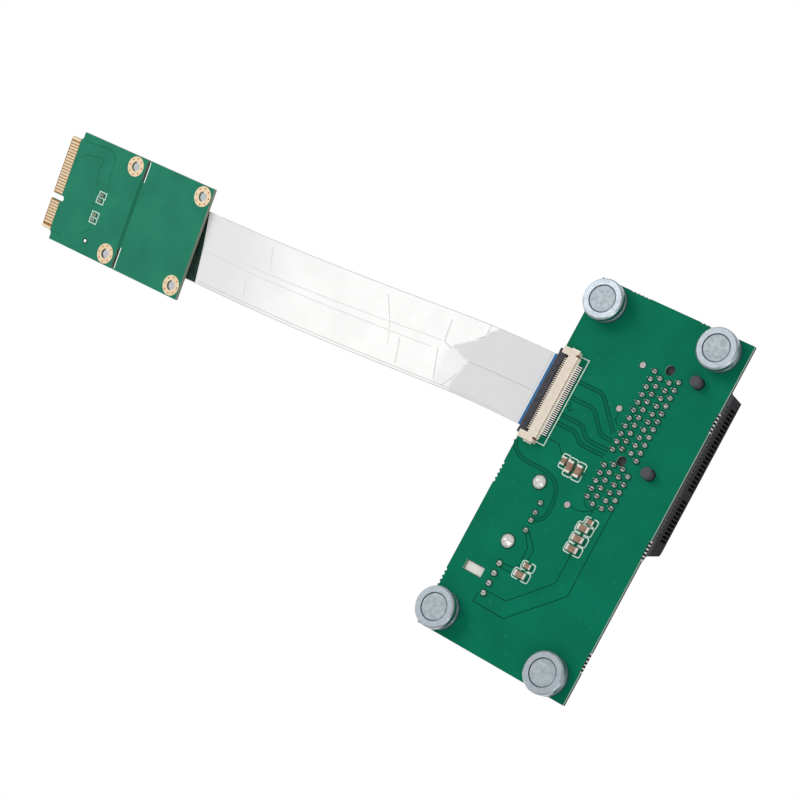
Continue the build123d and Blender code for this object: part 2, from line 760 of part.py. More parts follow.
cableNodes = {"flat_cable", "cable_stiffener_board", "cable_stiffener_card"}


def asShape(piece):
    """One solid as it is, or several separate solids as one group."""
    if isinstance(piece, list):
        return Compound([solid for item in piece for solid in item.solids()])
    return piece


shapes = {name: asShape(piece) for name, piece in parts.items()}
rigid = [shape.bounding_box() for name, shape in shapes.items() if name not in cableNodes]
lowX, lowY, lowZ = (min(getattr(b.min, axis) for b in rigid) for axis in "XYZ")
highX, highY = (max(getattr(b.max, axis) for b in rigid) for axis in "XY")
toOrigin = Pos(-(lowX + highX) / 2, -(lowY + highY) / 2, -lowZ)
print("moved by", toOrigin.position)
for name, place in (("board lever", boardConnector), ("card lever", card * cardConnector)):
    pivot = toOrigin * place * Pos(leverPivotX, 0, leverPivotZ)
    axis = (pivot * Pos(0, 1, 0)).position - pivot.position
    print(name, "pivot", pivot.position, "axis", axis)
for name, place in (("near holes", card * Pos(0, 0, 0)), ("far holes", card * Pos(holeRow, 0, 0))):
    for s in (1, -1):
        print(name, (toOrigin * place * Pos(0, s * holeHalfSpan, -cardThick / 2)).position)
print("card up", (card * Pos(0, 0, 1)).position - card.position, "card along",
      (card * Pos(1, 0, 0)).position - card.position)
print("slot mouth", (toOrigin * Pos(slotMouth, keyY, slotMid)).position)
print("fingers", (toOrigin * card * Pos(-cardShoulder - tongueLength, 0, -cardThick / 2)).position)
print("cable route", [tuple(round(v, 2) for v in (toOrigin * Pos(*p)).position) for p in cableRoute])

os.makedirs("parts", exist_ok=True)
for name, shape in shapes.items():
    export_step(toOrigin * shape, f"parts/{name}.step")
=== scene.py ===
import math
import random

import bmesh
import bpy
from mathutils import Matrix, Vector


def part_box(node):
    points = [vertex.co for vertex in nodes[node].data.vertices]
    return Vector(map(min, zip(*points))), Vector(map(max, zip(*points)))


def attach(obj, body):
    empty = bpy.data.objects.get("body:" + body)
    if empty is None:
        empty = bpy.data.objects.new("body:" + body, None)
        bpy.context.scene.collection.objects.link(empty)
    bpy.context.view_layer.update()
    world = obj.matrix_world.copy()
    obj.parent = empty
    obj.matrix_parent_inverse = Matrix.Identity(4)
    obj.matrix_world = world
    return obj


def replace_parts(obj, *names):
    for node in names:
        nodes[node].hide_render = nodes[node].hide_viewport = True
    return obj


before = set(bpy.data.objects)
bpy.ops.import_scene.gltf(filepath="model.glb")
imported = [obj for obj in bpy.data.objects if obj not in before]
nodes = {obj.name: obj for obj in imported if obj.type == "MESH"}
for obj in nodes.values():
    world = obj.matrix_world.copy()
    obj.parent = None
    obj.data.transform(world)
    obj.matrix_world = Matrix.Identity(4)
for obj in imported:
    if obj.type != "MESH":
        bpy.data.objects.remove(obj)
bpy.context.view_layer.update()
mm = 0.001

# where things are on the two boards, in millimetres from the board's middle or the card's near holes
boardLow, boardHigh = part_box("main_board")
boardMid = (boardLow + boardHigh) / 2


def onBoard(x, y, lift=0.0):
    return Vector((boardMid.x + x * mm, boardMid.y + y * mm, boardHigh.z + lift * mm))


# camera, solved on the slot's rows of solder joints, so it is placed from the board
cameraSpec = {"place": (218.63, -19.84, 471.53), "turn": (16.902, 25.139, 31.743), "lens": 103.46, "sensor": 36.0,
              "shift": (0.0008, -0.0005)}
camera = bpy.data.cameras.new("camera")
camera.lens, camera.sensor_width = cameraSpec["lens"], cameraSpec["sensor"]
camera.shift_x, camera.shift_y = cameraSpec["shift"]
cameraObject = bpy.data.objects.new("camera", camera)
cameraObject.location = onBoard(*cameraSpec["place"])
cameraObject.rotation_euler = [math.radians(a) for a in cameraSpec["turn"]]
bpy.context.scene.collection.objects.link(cameraObject)
bpy.context.scene.camera = cameraObject
bpy.context.scene.view_settings.view_transform = "Standard"
print("camera set")


def fromBoardMid(spot):
    return (spot.x - boardMid.x) / mm, (spot.y - boardMid.y) / mm


def islands(node):
    # the separate solids in a CAD node, each as a list of its corners
    mesh = bmesh.new()
    mesh.from_mesh(nodes[node].data)
    bmesh.ops.remove_doubles(mesh, verts=mesh.verts, dist=1e-6)
    seen, groups = set(), []
    for start in mesh.verts:
        if start in seen:
            continue
        seen.add(start)
        waiting, group = [start], []
        while waiting:
            corner = waiting.pop()
            group.append(corner.co.copy())
            for edge in corner.link_edges:
                other = edge.other_vert(corner)
                if other not in seen:
                    seen.add(other)
                    waiting.append(other)
        groups.append(group)
    mesh.free()
    return groups


def middleOf(points):
    return Vector([(min(p[i] for p in points) + max(p[i] for p in points)) / 2 for i in range(3)])


def spanOf(points):
    return Vector([max(p[i] for p in points) - min(p[i] for p in points) for i in range(3)])


ringMiddles = [middleOf(ring) for ring in islands("card_ring_pads")]
topRings = [a for a in ringMiddles if any((a - b).length < 2 * mm and a.z > b.z for b in ringMiddles)]
topRings.sort(key=lambda spot: spot.x)
nearRings = sorted(topRings[:2], key=lambda spot: spot.y)
farRings = topRings[2:]
cardOrigin = (nearRings[0] + nearRings[1]) / 2
cardAlong = ((farRings[0] + farRings[1]) / 2 - cardOrigin).normalized()
cardAcross = (nearRings[1] - nearRings[0]).normalized()
cardUp = cardAlong.cross(cardAcross)


def onCard(x, y, lift=0.0):
    return cardOrigin + (cardAlong * x + cardAcross * y + cardUp * lift) * mm


def linear(code):
    # an sRGB hex colour as the linear one that a shader takes
    channels = [int(code[i:i + 2], 16) / 255 for i in (1, 3, 5)]
    return tuple(c / 12.92 if c <= 0.04045 else ((c + 0.055) / 1.055) ** 2.4 for c in channels) + (1.0,)


def add(tree, kind, inputs=None, **settings):
    # one shader node, with its settings, values and links
    node = tree.nodes.new("ShaderNode" + kind)
    for name, value in settings.items():
        setattr(node, name, value)
    for name, value in (inputs or {}).items():
        if isinstance(value, bpy.types.NodeSocket):
            tree.links.new(value, node.inputs[name])
        else:
            node.inputs[name].default_value = value
    return node


mixFactor, mixA, mixB, mixResult = 0, 6, 7, 2  # sockets of a colour mix


def newMaterial(name, values):
    material = bpy.data.materials.new(name)
    material.use_nodes = True
    shader = material.node_tree.nodes["Principled BSDF"]
    for socket, value in values.items():
        shader.inputs[socket].default_value = value
    return material, material.node_tree, shader


def noise(tree, place, size, detail):
    # soft noise, its patches of a size in mm
    return add(tree, "TexNoise", {"Vector": place, "Scale": 1 / (size * mm), "Detail": detail}).outputs["Fac"]


def spread(tree, value, low, high, start=0.0, end=1.0, **settings):
    # a value between low and high as one between start and end
    limits = {"Value": value, "From Min": low, "From Max": high, "To Min": start, "To Max": end}
    return add(tree, "MapRange", limits, **settings).outputs[0]


def blended(tree, share, first, second):
    # two colours mixed by a share; each is a hex code, a plain colour or a socket
    first, second = (linear(colour) if isinstance(colour, str) else colour for colour in (first, second))
    mixed = add(tree, "Mix", {mixFactor: share, mixA: first, mixB: second}, data_type="RGBA")
    return mixed.outputs[mixResult]


def bumped(tree, height, relief, strength):
    return add(tree, "Bump", {"Height": height, "Distance": relief * mm, "Strength": strength}).outputs["Normal"]


def dress(tree, shader, colour, gloss=None, normal=None):
    for socket, value in (("Base Color", colour), ("Roughness", gloss), ("Normal", normal)):
        if value is not None:
            tree.links.new(value, shader.inputs[socket])


def mottled(name, light, dark, patch, grain, relief, rough, values):
    # two close colours in soft patches, a fine grain in the surface and uneven gloss; sizes in mm
    material, tree, shader = newMaterial(name, values)
    place = add(tree, "TexCoord").outputs["Object"]
    patches = noise(tree, place, patch, 3.0)
    dress(tree, shader, blended(tree, spread(tree, patches, 0.35, 0.65), light, dark),
          spread(tree, patches, 0.3, 0.7, *rough), bumped(tree, noise(tree, place, grain, 2.0), relief, 0.6))
    return material


def maskedLaminate(name, mask, maskDeep, edge, patch, shadeBelow):
    # glass-fibre laminate under sprayed solder mask: satin green faces with a faint unevenness,
    # and sawn edges that show the pale weave in their upper half and carry painted shade below
    material, tree, shader = newMaterial(name, matte)
    place = add(tree, "TexCoord").outputs["Object"]
    patches = noise(tree, place, patch, 4.0)
    green = blended(tree, spread(tree, patches, 0.35, 0.65), mask, maskDeep)
    height = add(tree, "SeparateXYZ", {"Vector": place}).outputs["Z"]
    side = blended(tree, spread(tree, height, shadeBelow - 0.1 * mm, shadeBelow + 0.1 * mm, 1.0, 0.0), *edge)
    facing = add(tree, "SeparateXYZ", {"Vector": add(tree, "NewGeometry").outputs["Normal"]})
    level = add(tree, "Math", {0: facing.outputs["Z"]}, operation="ABSOLUTE")
    dress(tree, shader, blended(tree, spread(tree, level.outputs[0], 0.5, 0.6), side, green),
          spread(tree, patches, 0.0, 1.0, 0.38, 0.5), bumped(tree, noise(tree, place, 0.35, 2.0), 0.006, 0.5))
    return material


metal = {"Metallic": 1.0}
plastic = {"Specular IOR Level": 0.4}
matte = {"Specular IOR Level": 0.03}

# the slot board's dark second edge colour is painted shade on the lower half of its sawn edges
boardMask = maskedLaminate("solder-masked laminate, slot board", "#09795B", "#087254",
                           ("#A9BCAF", "#1E2E26"), 9.0, boardHigh.z - 0.55 * mm)
cardMask = maskedLaminate("solder-masked laminate, small card", "#2E896C", "#2A8066",
                          ("#8E9584", "#4E5348"), 7.0, 0.0)
# mask over a gap in the copper lies lower and looks darker
trackEdge = mottled("solder mask over etched gap", "#044A37", "#034230", 3.0, 0.4, 0.004, (0.4, 0.5), matte)
trackBand = mottled("solder mask over track pair", "#086C51", "#07674C", 3.0, 0.4, 0.004, (0.36, 0.46), matte)
cardTrack = mottled("solder mask over card track", "#237358", "#1F6C51", 3.0, 0.4, 0.004, (0.4, 0.5), matte)
viaMask = mottled("tented via rim", "#2B8A6A", "#1B7F60", 1.0, 0.3, 0.004, (0.35, 0.5), matte)
bareShade = mottled("bare laminate between pads, in shade", "#050706", "#030404", 1.0, 0.3, 0.004, (0.6, 0.8),
                    plastic)
tanLaminate = mottled("bare laminate between gold fingers", "#A87A48", "#94683A", 0.8, 0.3, 0.01, (0.5, 0.7), matte)
brokenLaminate = mottled("broken glass laminate", "#E9EFE9", "#CBD8CC", 0.3, 0.1, 0.03, (0.6, 0.8), plastic)
# screen-printed epoxy ink: flat, slightly rough, edges a touch uneven
legendInk = mottled("screen-printed white ink", "#E4F4EC", "#C6E4D6", 0.8, 0.15, 0.01, (0.5, 0.65), plastic)
# wave-soldered tin: smooth and bright, with dull patches of flux
brightSolder = mottled("wave-soldered tin", "#FFFEFA", "#E9E4DE", 0.6, 0.3, 0.02, (0.12, 0.26), {"Metallic": 0.6})
# the dark slit across each joint is painted shade for the clipped pin's shaded side
pinEndShade = mottled("cut pin end, painted shade", "#2B2220", "#171210", 0.3, 0.1, 0.02, (0.5, 0.7), matte)
# a painted highlight: the small pale dot beside each slot joint
paintedGlint = mottled("painted highlight on the mask", "#B8D8CB", "#8FC2AE", 0.5, 0.2, 0.01, (0.2, 0.35), plastic)
dullTin = mottled("levelled tin on a test pad", "#B9B2AF", "#A59E9C", 0.5, 0.2, 0.01, (0.45, 0.6),
                  {"Metallic": 0.6})
tinPlate = mottled("matte tin plate", "#E3DFD9", "#C9C4BC", 0.7, 0.2, 0.008, (0.25, 0.42), metal)
# the tails' emission is a painted glow that lifts them to white
tailTinGlow = mottled("solder-wetted tail, painted glow", "#FBFAF6", "#EFEDE8", 0.7, 0.2, 0.008, (0.3, 0.45),
                    {"Emission Color": (1, 1, 1, 1), "Emission Strength": 0.3})
goldPlate = mottled("immersion gold over nickel", "#FCE9CA", "#F2D7A8", 0.9, 0.2, 0.006, (0.28, 0.42),
                    {"Metallic": 0.4})
ringGold = mottled("immersion gold on wide ring pads", "#FDE6C4", "#F7D9AE", 1.5, 0.25, 0.01, (0.35, 0.5),
                   {"Metallic": 0.3})
# turned steel with clear zinc: bluish, fine tumbling marks, soft broad shine
zincSteel = mottled("zinc-plated turned steel", "#C2CBD2", "#AAB4BC", 1.6, 0.25, 0.008, (0.26, 0.4), metal)
magnetPlate = mottled("nickel-plated magnet, tumbled", "#B7C0C5", "#A6B0B6", 1.1, 0.2, 0.006, (0.5, 0.62),
                      {"Metallic": 0.75})
shellNickel = mottled("nickel-plated drawn shell", "#CFCFCC", "#B9B8B4", 2.0, 0.3, 0.008, (0.22, 0.36), metal)
blackNylon = mottled("glass-filled nylon, moulded", "#262527", "#19181A", 1.4, 0.12, 0.02, (0.38, 0.55), plastic)


def slotMaterial():
    # glass-filled black nylon: near black, coloured a little greyer by height in the strip that lies close to the
    # board
    material, tree, shader = newMaterial("glass-filled nylon, slot", matte)
    place = add(tree, "TexCoord").outputs["Object"]
    height = add(tree, "SeparateXYZ", {"Vector": place}).outputs["Z"]
    near = spread(tree, height, boardHigh.z - 4.2 * mm, boardHigh.z - 1.5 * mm, interpolation_type="SMOOTHSTEP")
    fine = noise(tree, place, 0.15, 2.0)
    dress(tree, shader, blended(tree, near, "#2F2D30", "#5A5A5E"), spread(tree, fine, 0.0, 1.0, 0.5, 0.65),
          bumped(tree, fine, 0.02, 0.6))
    return material


slotNylon = slotMaterial()
whiteNylon = mottled("natural nylon, moulded", "#EDEBE6", "#DEDBD3", 2.0, 0.3, 0.01, (0.4, 0.55), plastic)
beigePolymer = mottled("liquid crystal polymer, moulded", "#EFE3D3", "#E8DAC8", 1.2, 0.25, 0.012, (0.42, 0.6),
                       plastic)
leverPolymer = mottled("glass-filled lever plastic", "#3B3741", "#1F1D24", 0.5, 0.15, 0.02, (0.35, 0.55), plastic)
blueFilm = mottled("polyester stiffener tape", "#2679B4", "#1E699F", 4.0, 0.5, 0.006, (0.22, 0.34), plastic)
clearFilm = mottled("polyester film over tinned wires", "#F1F1EF", "#D9DAD8", 0.5, 0.3, 0.01, (0.3, 0.45), plastic)
ceramicBrown = mottled("fired ceramic dielectric", "#A98872", "#8E6E5A", 0.6, 0.2, 0.01, (0.45, 0.65), plastic)
dullGold = mottled("plated dimple in a ring pad", "#C9764A", "#AE6138", 0.4, 0.15, 0.01, (0.4, 0.6), matte)
seenThrough = mottled("bench seen through an opening", "#FFFFFF", "#F6F6F6", 1.0, 0.3, 0.004, (0.6, 0.8),
                      {"Emission Color": (1, 1, 1, 1), "Emission Strength": 0.12})
# a plain grey disc set a little down in each screw hole
boreGrey = mottled("grey disc inside a screw hole", "#D6DBDE", "#BEC4C8", 0.25, 0.2, 0.01, (0.5, 0.6), matte)
cutShade = mottled("cut through the laminate, in shade", "#1C4A3A", "#173D30", 0.6, 0.2, 0.01, (0.6, 0.8), matte)
beigeShade = mottled("shaded recess in the moulding", "#6E665A", "#5C554B", 0.5, 0.2, 0.01, (0.6, 0.8), matte)
beigeLit = mottled("moulding in bounced light", "#F3E8D9", "#EADFCF", 1.2, 0.25, 0.012, (0.42, 0.6),
                   {"Specular IOR Level": 0.3, "Emission Color": linear("#F3DCC0"), "Emission Strength": 0.22})
# painted shade: near black in the comb's recess and in the board edge's bites
recessShade = mottled("painted shade in deep recesses", "#161418", "#0E0C10", 0.5, 0.2, 0.01, (0.6, 0.8), matte)
footBrown = mottled("recess over a solder foot, flux-stained", "#8A4A36", "#5F3226", 0.3, 0.1, 0.01, (0.5, 0.7),
                    matte)


def foilMaterial():
    # aluminium foil laminated under film: satin, with a painted sheen, near white where it faces the lamp and an
    # even light grey where it bends down to the connectors (the mesh carries that share as its painted_sheen), a faint
    # painted glow from its emission, and a faint crinkle
    material, tree, shader = newMaterial("film-laminated aluminium foil", {
        "Metallic": 0.0, "Roughness": 0.5, "Specular IOR Level": 0.1, "Emission Color": (1, 1, 1, 1),
        "Emission Strength": 0.085})
    cloud = noise(tree, add(tree, "TexCoord").outputs["Object"], 7.0, 5.0)
    painted_sheen = add(tree, "Attribute", attribute_name="painted_sheen").outputs["Fac"]
    base = blended(tree, painted_sheen, "#FFFFFE", "#D9D9DB")
    tinted = blended(tree, spread(tree, cloud, 0.4, 0.75, 0.0, 0.3), base, "#E4E4E3")
    dress(tree, shader, tinted, normal=bumped(tree, cloud, 0.05, 0.35))
    return material


foilSkin = foilMaterial()
# painted shade along the folds, and the grey line at the foil's end
foldShade = mottled("painted fold shade and the foil's end line", "#CFCFCE", "#BEBEBD", 1.0, 0.2, 0.01, (0.4, 0.6), matte)
shadeSkin = mottled("foil in the card's shade", "#34483F", "#20362D", 2.5, 0.3, 0.01, (0.5, 0.6), matte)
# real overlap seams, and painted shade along the low creases
seamAndCreaseShade = mottled("overlap seams and painted crease shade in the foil", "#F0F0EE", "#E6E6E4", 2.0, 0.2, 0.01, (0.4, 0.6), matte)
foilFaint = mottled("faint border lines in the foil", "#E2E2E0", "#D8D8D6", 2.0, 0.2, 0.01, (0.4, 0.6), matte)


def stiffenerMaterial():
    # blue polyester tape; its outer part lies under white film, with a dark line where the two meet
    material, tree, shader = newMaterial("polyester stiffener tape under film",
                                         {"Specular IOR Level": 0.3, "Roughness": 0.3})
    across = add(tree, "SeparateXYZ", {"Vector": add(tree, "TexCoord").outputs["Object"]})
    colour = linear("#EDEFF0")
    for edge, code in ((1.53, "#7C7F80"), (1.45, "#F4F6F7"), (1.05, "#2674AC")):
        beyond = add(tree, "Math", {0: across.outputs["X"], 1: onBoard(stiffenerMouth - edge, 0).x},
                     operation="GREATER_THAN")
        colour = blended(tree, beyond.outputs[0], colour, code)
    dress(tree, shader, colour)
    return material


stiffenerMouth = -20.64  # the connector's mouth, from the board's middle in mm
stiffenerTape = stiffenerMaterial()
print("materials made")


def piece(name, mesh, material, body="adapter"):
    # a bmesh as an object that rides on a body
    data = bpy.data.meshes.new(name)
    bmesh.ops.recalc_face_normals(mesh, faces=mesh.faces)
    mesh.to_mesh(data)
    mesh.free()
    made = bpy.data.objects.new(name, data)
    for one in material if isinstance(material, list) else [material]:
        data.materials.append(one)
    bpy.context.scene.collection.objects.link(made)
    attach(made, body)
    return made


def lathe(mesh, profile, segments, place, ripple=None):
    # turns (radius, height) pairs in mm about place(0, 0); ripple(angle, height share) scales a radius
    rings = []
    tallest = max(height for radius, height in profile)
    for radius, height in profile:
        if radius == 0:
            rings.append([mesh.verts.new(place(0, 0, height))])
            continue
        ring = []
        for i in range(segments):
            angle = 2 * math.pi * i / segments
            out = radius * (ripple(angle, height / tallest) if ripple else 1)
            ring.append(mesh.verts.new(place(out * math.cos(angle), out * math.sin(angle), height)))
        rings.append(ring)
    for low, high in zip(rings, rings[1:]):
        for i in range(segments):
            corners = [low[i % len(low)], low[(i + 1) % len(low)], high[(i + 1) % len(high)], high[i % len(high)]]
            unique = list(dict.fromkeys(corners))
            if len(unique) > 2:
                mesh.faces.new(unique).smooth = True
    for ring in (rings[0], rings[-1]):
        if len(ring) > 2:
            mesh.faces.new(ring)


def band(mesh, points, width, place, low, high, closed=False):
    # a flat raised line of even width through points in mm, with mitred corners
    count = len(points)
    sides = []
    for i, (x, y) in enumerate(points):
        before = points[i - 1] if i or closed else points[i]
        after = points[(i + 1) % count] if i < count - 1 or closed else points[i]
        a, b = Vector((x - before[0], y - before[1])), Vector((after[0] - x, after[1] - y))
        a, b = (a or b).normalized(), (b or a).normalized()
        normal = Vector((-a.y, a.x)) + Vector((-b.y, b.x))
        normal *= width / 2 / max(1 + a.dot(b), 0.4)
        sides.append(((x + normal.x, y + normal.y), (x - normal.x, y - normal.y)))
    rows = [[mesh.verts.new(place(*side, level)) for side in pair for level in (low, high)] for pair in sides]
    pairs = list(zip(rows, rows[1:])) + ([(rows[-1], rows[0])] if closed else [])
    for (aLow, aHigh, bLow, bHigh), (cLow, cHigh, dLow, dHigh) in pairs:
        for corners in ((aHigh, cHigh, dHigh, bHigh), (aLow, bLow, dLow, cLow), (aLow, cLow, cHigh, aHigh),
                        (bLow, bHigh, dHigh, dLow)):
            mesh.faces.new(corners)
    if not closed:
        for aLow, aHigh, bLow, bHigh in (rows[0], rows[-1]):
            mesh.faces.new((aLow, aHigh, bHigh, bLow))


def eased(points, rounds=2):
    # a drawn line with its corners cut twice, for tracks that bend in sweeps
    for _ in range(rounds):
        cut = [points[0]]
        for (x0, y0), (x1, y1) in zip(points, points[1:]):
            cut.append((x0 * 0.75 + x1 * 0.25, y0 * 0.75 + y1 * 0.25))
            cut.append((x0 * 0.25 + x1 * 0.75, y0 * 0.25 + y1 * 0.75))
        points = cut + [points[-1]]
    return points


def cornered(points, cut):
    # a drawn line with each corner cut off, cut is the length taken from both sides in mm
    drawnLine = [points[0]]
    for before, here, after in zip(points, points[1:], points[2:]):
        for other in (before, after):
            way = Vector((other[0] - here[0], other[1] - here[1]))
            way *= min(cut / way.length, 0.45)
            drawnLine.append((here[0] + way.x, here[1] + way.y))
    return drawnLine + [points[-1]]


def offsetLine(points, gap):
    # the same line moved sideways
    moved = []
    for i, (x, y) in enumerate(points):
        x0, y0 = points[max(i - 1, 0)]
        x1, y1 = points[min(i + 1, len(points) - 1)]
        a, b = Vector((x - x0, y - y0)), Vector((x1 - x, y1 - y))
        a, b = (a or b).normalized(), (b or a).normalized()
        normal = (Vector((-a.y, a.x)) + Vector((-b.y, b.x))) * (gap / max(1 + a.dot(b), 0.4))
        moved.append((x + normal.x, y + normal.y))
    return moved


# flat cable: its line is the route of the part's cable, in metres
cable = {
    "route": [(-0.05788, 0.00976, 0.00394), (-0.04169, 0.0101, 0.0045), (-0.0213, 0.0109, 0.0043),
              (0.0003, 0.01215, 0.0051), (0.022, 0.01355, 0.0078), (0.04516, 0.0152, 0.00962),
              (0.06136, 0.0152, 0.00962)],
    "length": 0.1196, "width": 18.4, "thick": 0.2, "lean": 12.7, "leanFrom": 0.12,
    # low creases that catch a little shade: distance from the card end in mm, start and end across, slant, height
    "creases": [(30.7, 0.1, 0.85, -2.0, 0.1), (26.6, -0.8, -0.3, -1.5, 0.1), (70.7, -0.5, 0.8, -4.5, 0.05),
                (88.0, 0.1, 0.9, -0.8, 0.1), (88.7, -0.9, 0.0, -2.8, 0.12), (98.3, 0.6, 1.0, 0.0, 0.1)],
    # grey past this line: share across against distance from the card end
    "greyFrom": [(-1.0, 94.1), (-0.83, 94.3), (-0.34, 95.4), (-0.11, 96.5), (0.0, 93.2), (0.12, 90.1), (0.41, 95.1),
                 (0.96, 100.0), (1.0, 100.5)],
    "halfGreyFrom": 89.0, "cardGrey": (0.62, 17.5, 26.0),
    # folds in the foil, drawn as lines of painted shade, each from one place to another: distance from the card end,
    # share across
    "folds": [[(67.8, 0.77), (70.4, 0.3)], [(75.9, -0.14), (77.7, -0.84)], [(87.9, 0.77), (88.4, 0.15)],
              [(87.4, -0.05), (89.9, -0.86)], [(98.3, 0.98), (98.1, 0.66), (96.1, 0.5)], [(88.4, 0.15), (91.0, 0.06)],
              [(95.4, -0.5), (92.7, -0.93)], [(96.5, -0.1), (115.2, -0.09)]],
    "faint": [[(12.5, 0.985), (115.4, 0.985)], [(12.5, -0.985), (115.4, -0.985)], [(12.5, -0.9), (111.7, -0.925)]],
    # soft lines: two long overlap seams, and painted shade along the low creases
    "soft": [[(11.0, -0.05), (24.7, -0.1), (85.4, -0.09)], [(22.3, 0.06), (53.3, 0.1), (87.6, 0.16)],
             [(30.5, 0.8), (32.5, 0.1)], [(26.2, -0.32), (27.2, -0.79)],
             [(70.4, 0.3), (72.3, -0.1), (73.2, -0.43)]],
    "edge": [(115.55, -0.99), (115.55, 0.99)], "foldWide": 0.15, "faintWide": 0.2,
    # the card's shade on the foil: its edge from the upper side to the lower one
    "shade": [(0.98, 8.4), (0.03, 10.2), (-0.98, 11.5)], "shadeFrom": 5.0,
    # the last part before the board's connector has no foil: film over the wires
    "filmEnd": 4.1, "along": 260, "across": 44,
}


def routeLine(points):
    # the smooth line through the route, read from a NURBS spline with no bevel
    curve = bpy.data.curves.new("route", "CURVE")
    curve.dimensions = "3D"
    spline = curve.splines.new("NURBS")
    spline.points.add(len(points) - 1)
    for point, place in zip(spline.points, points):
        point.co = (*place, 1.0)
    spline.order_u = 3
    spline.use_endpoint_u = True
    spline.resolution_u = 24
    holder = bpy.data.objects.new("route", curve)
    mesh = bpy.data.meshes.new_from_object(holder)
    line = [v.co.copy() for v in mesh.vertices]
    bpy.data.objects.remove(holder)
    bpy.data.curves.remove(curve)
    bpy.data.meshes.remove(mesh)
    return line


def foilRelief(along, across):
    # height of the foil's creases over the flat cable in mm, fading out at its edges
    high = 0.0
    for at, start, end, slant, peak in cable["creases"]:
        middle, half = (start + end) / 2, (end - start) / 2
        inside = max(0.0, 1 - ((across - middle) / half) ** 4)
        high += peak * inside * math.exp(-((along - at - slant * (across - middle)) / 0.6) ** 2)
    return high * max(0.0, 1 - across ** 8)


def between(pairs, at):
    # straight-line reading of a list of (place, value)
    for (a, low), (b, high) in zip(pairs, pairs[1:]):
        if at <= b:
            return low + (high - low) * max(at - a, 0) / (b - a)
    return pairs[-1][1]


def paintedFoilSheen(along, across):
    # painted sheen: 0 where the foil is painted shining white, 1 where it is flat grey
    limit = between(cable["greyFrom"], across) + 0.5 * math.sin(across * 21) * math.sin(across * 9 + 1)
    grey = min(max((along - limit) / 0.8, 0), 1)
    if across < 0.1:
        grey = max(grey, 0.3 * min(max((along - cable["halfGreyFrom"]) / 1.5, 0), 1))
    share, start, run = cable["cardGrey"]
    bend = min(max((start + run - along) / run, 0), 1)
    return max(grey, share * bend * bend * (3 - 2 * bend))


cableLine = routeLine(cable["route"])
cableReach = [0.0]
for a, b in zip(cableLine, cableLine[1:]):
    cableReach.append(cableReach[-1] + (b - a).length)


def acrossCable(at):
    # the middle of the cable at a distance in metres from its card end, with its side and upward directions
    step = 0
    while step < len(cableLine) - 2 and cableReach[step + 1] < at:
        step += 1
    share = (at - cableReach[step]) / (cableReach[step + 1] - cableReach[step])
    spot = cableLine[step].lerp(cableLine[step + 1], share)
    heading = (cableLine[min(step + 2, len(cableLine) - 1)] - cableLine[max(step - 1, 0)]).normalized()
    turn = min(max((at / cableReach[-1] - cable["leanFrom"]) / (1 - 2 * cable["leanFrom"]), 0), 1)
    lean = math.radians(cable["lean"]) * (1 - turn * turn * (3 - 2 * turn))
    flat = Vector((0, 0, 1)).cross(heading).normalized()
    side = flat * math.cos(lean) + heading.cross(flat) * math.sin(lean)
    return spot, side, heading.cross(side)


def onFoil(along, across, lift):
    # a place on the foil's upper face, both in mm, across from the middle line
    spot, side, up = acrossCable(along * mm)
    share = across / (cable["width"] / 2)
    thick = cable["thick"] / 2 * math.sqrt(max(0.0, 1 - share ** 40))
    return spot + side * across * mm + up * (thick + foilRelief(along, share) + lift) * mm


def foilLines(name, lines, width, material):
    mesh = bmesh.new()
    for line in lines:
        points = []
        for (a, p), (b, q) in zip(line, line[1:]):
            count = max(int(abs(b - a) / 1.5), int(abs(q - p) * cable["width"] / 2 / 0.6), 1)
            points += [(a + (b - a) * i / count, (p + (q - p) * i / count) * cable["width"] / 2) for i in range(count)]
        points.append((line[-1][0], line[-1][1] * cable["width"] / 2))
        band(mesh, points, width, onFoil, -0.03, 0.015)
    return piece(name, mesh, material)


def cardShade():
    # the strip of foil in the card's shade, dark beside the card's edge
    mesh = bmesh.new()
    rows, half = [], cable["width"] / 2
    for (p, a), (q, b) in zip(cable["shade"], cable["shade"][1:]):
        for i in range(9):
            across, edge = (p + (q - p) * i / 8) * half, a + (b - a) * i / 8
            rows.append([mesh.verts.new(onFoil(at, across, 0.02)) for at in (cable["shadeFrom"], edge - 1, edge)])
    for a, b in zip(rows, rows[1:]):
        for i in range(2):
            mesh.faces.new((a[i], a[i + 1], b[i + 1], b[i]))
    return piece("card_shade_on_foil", mesh, shadeSkin)


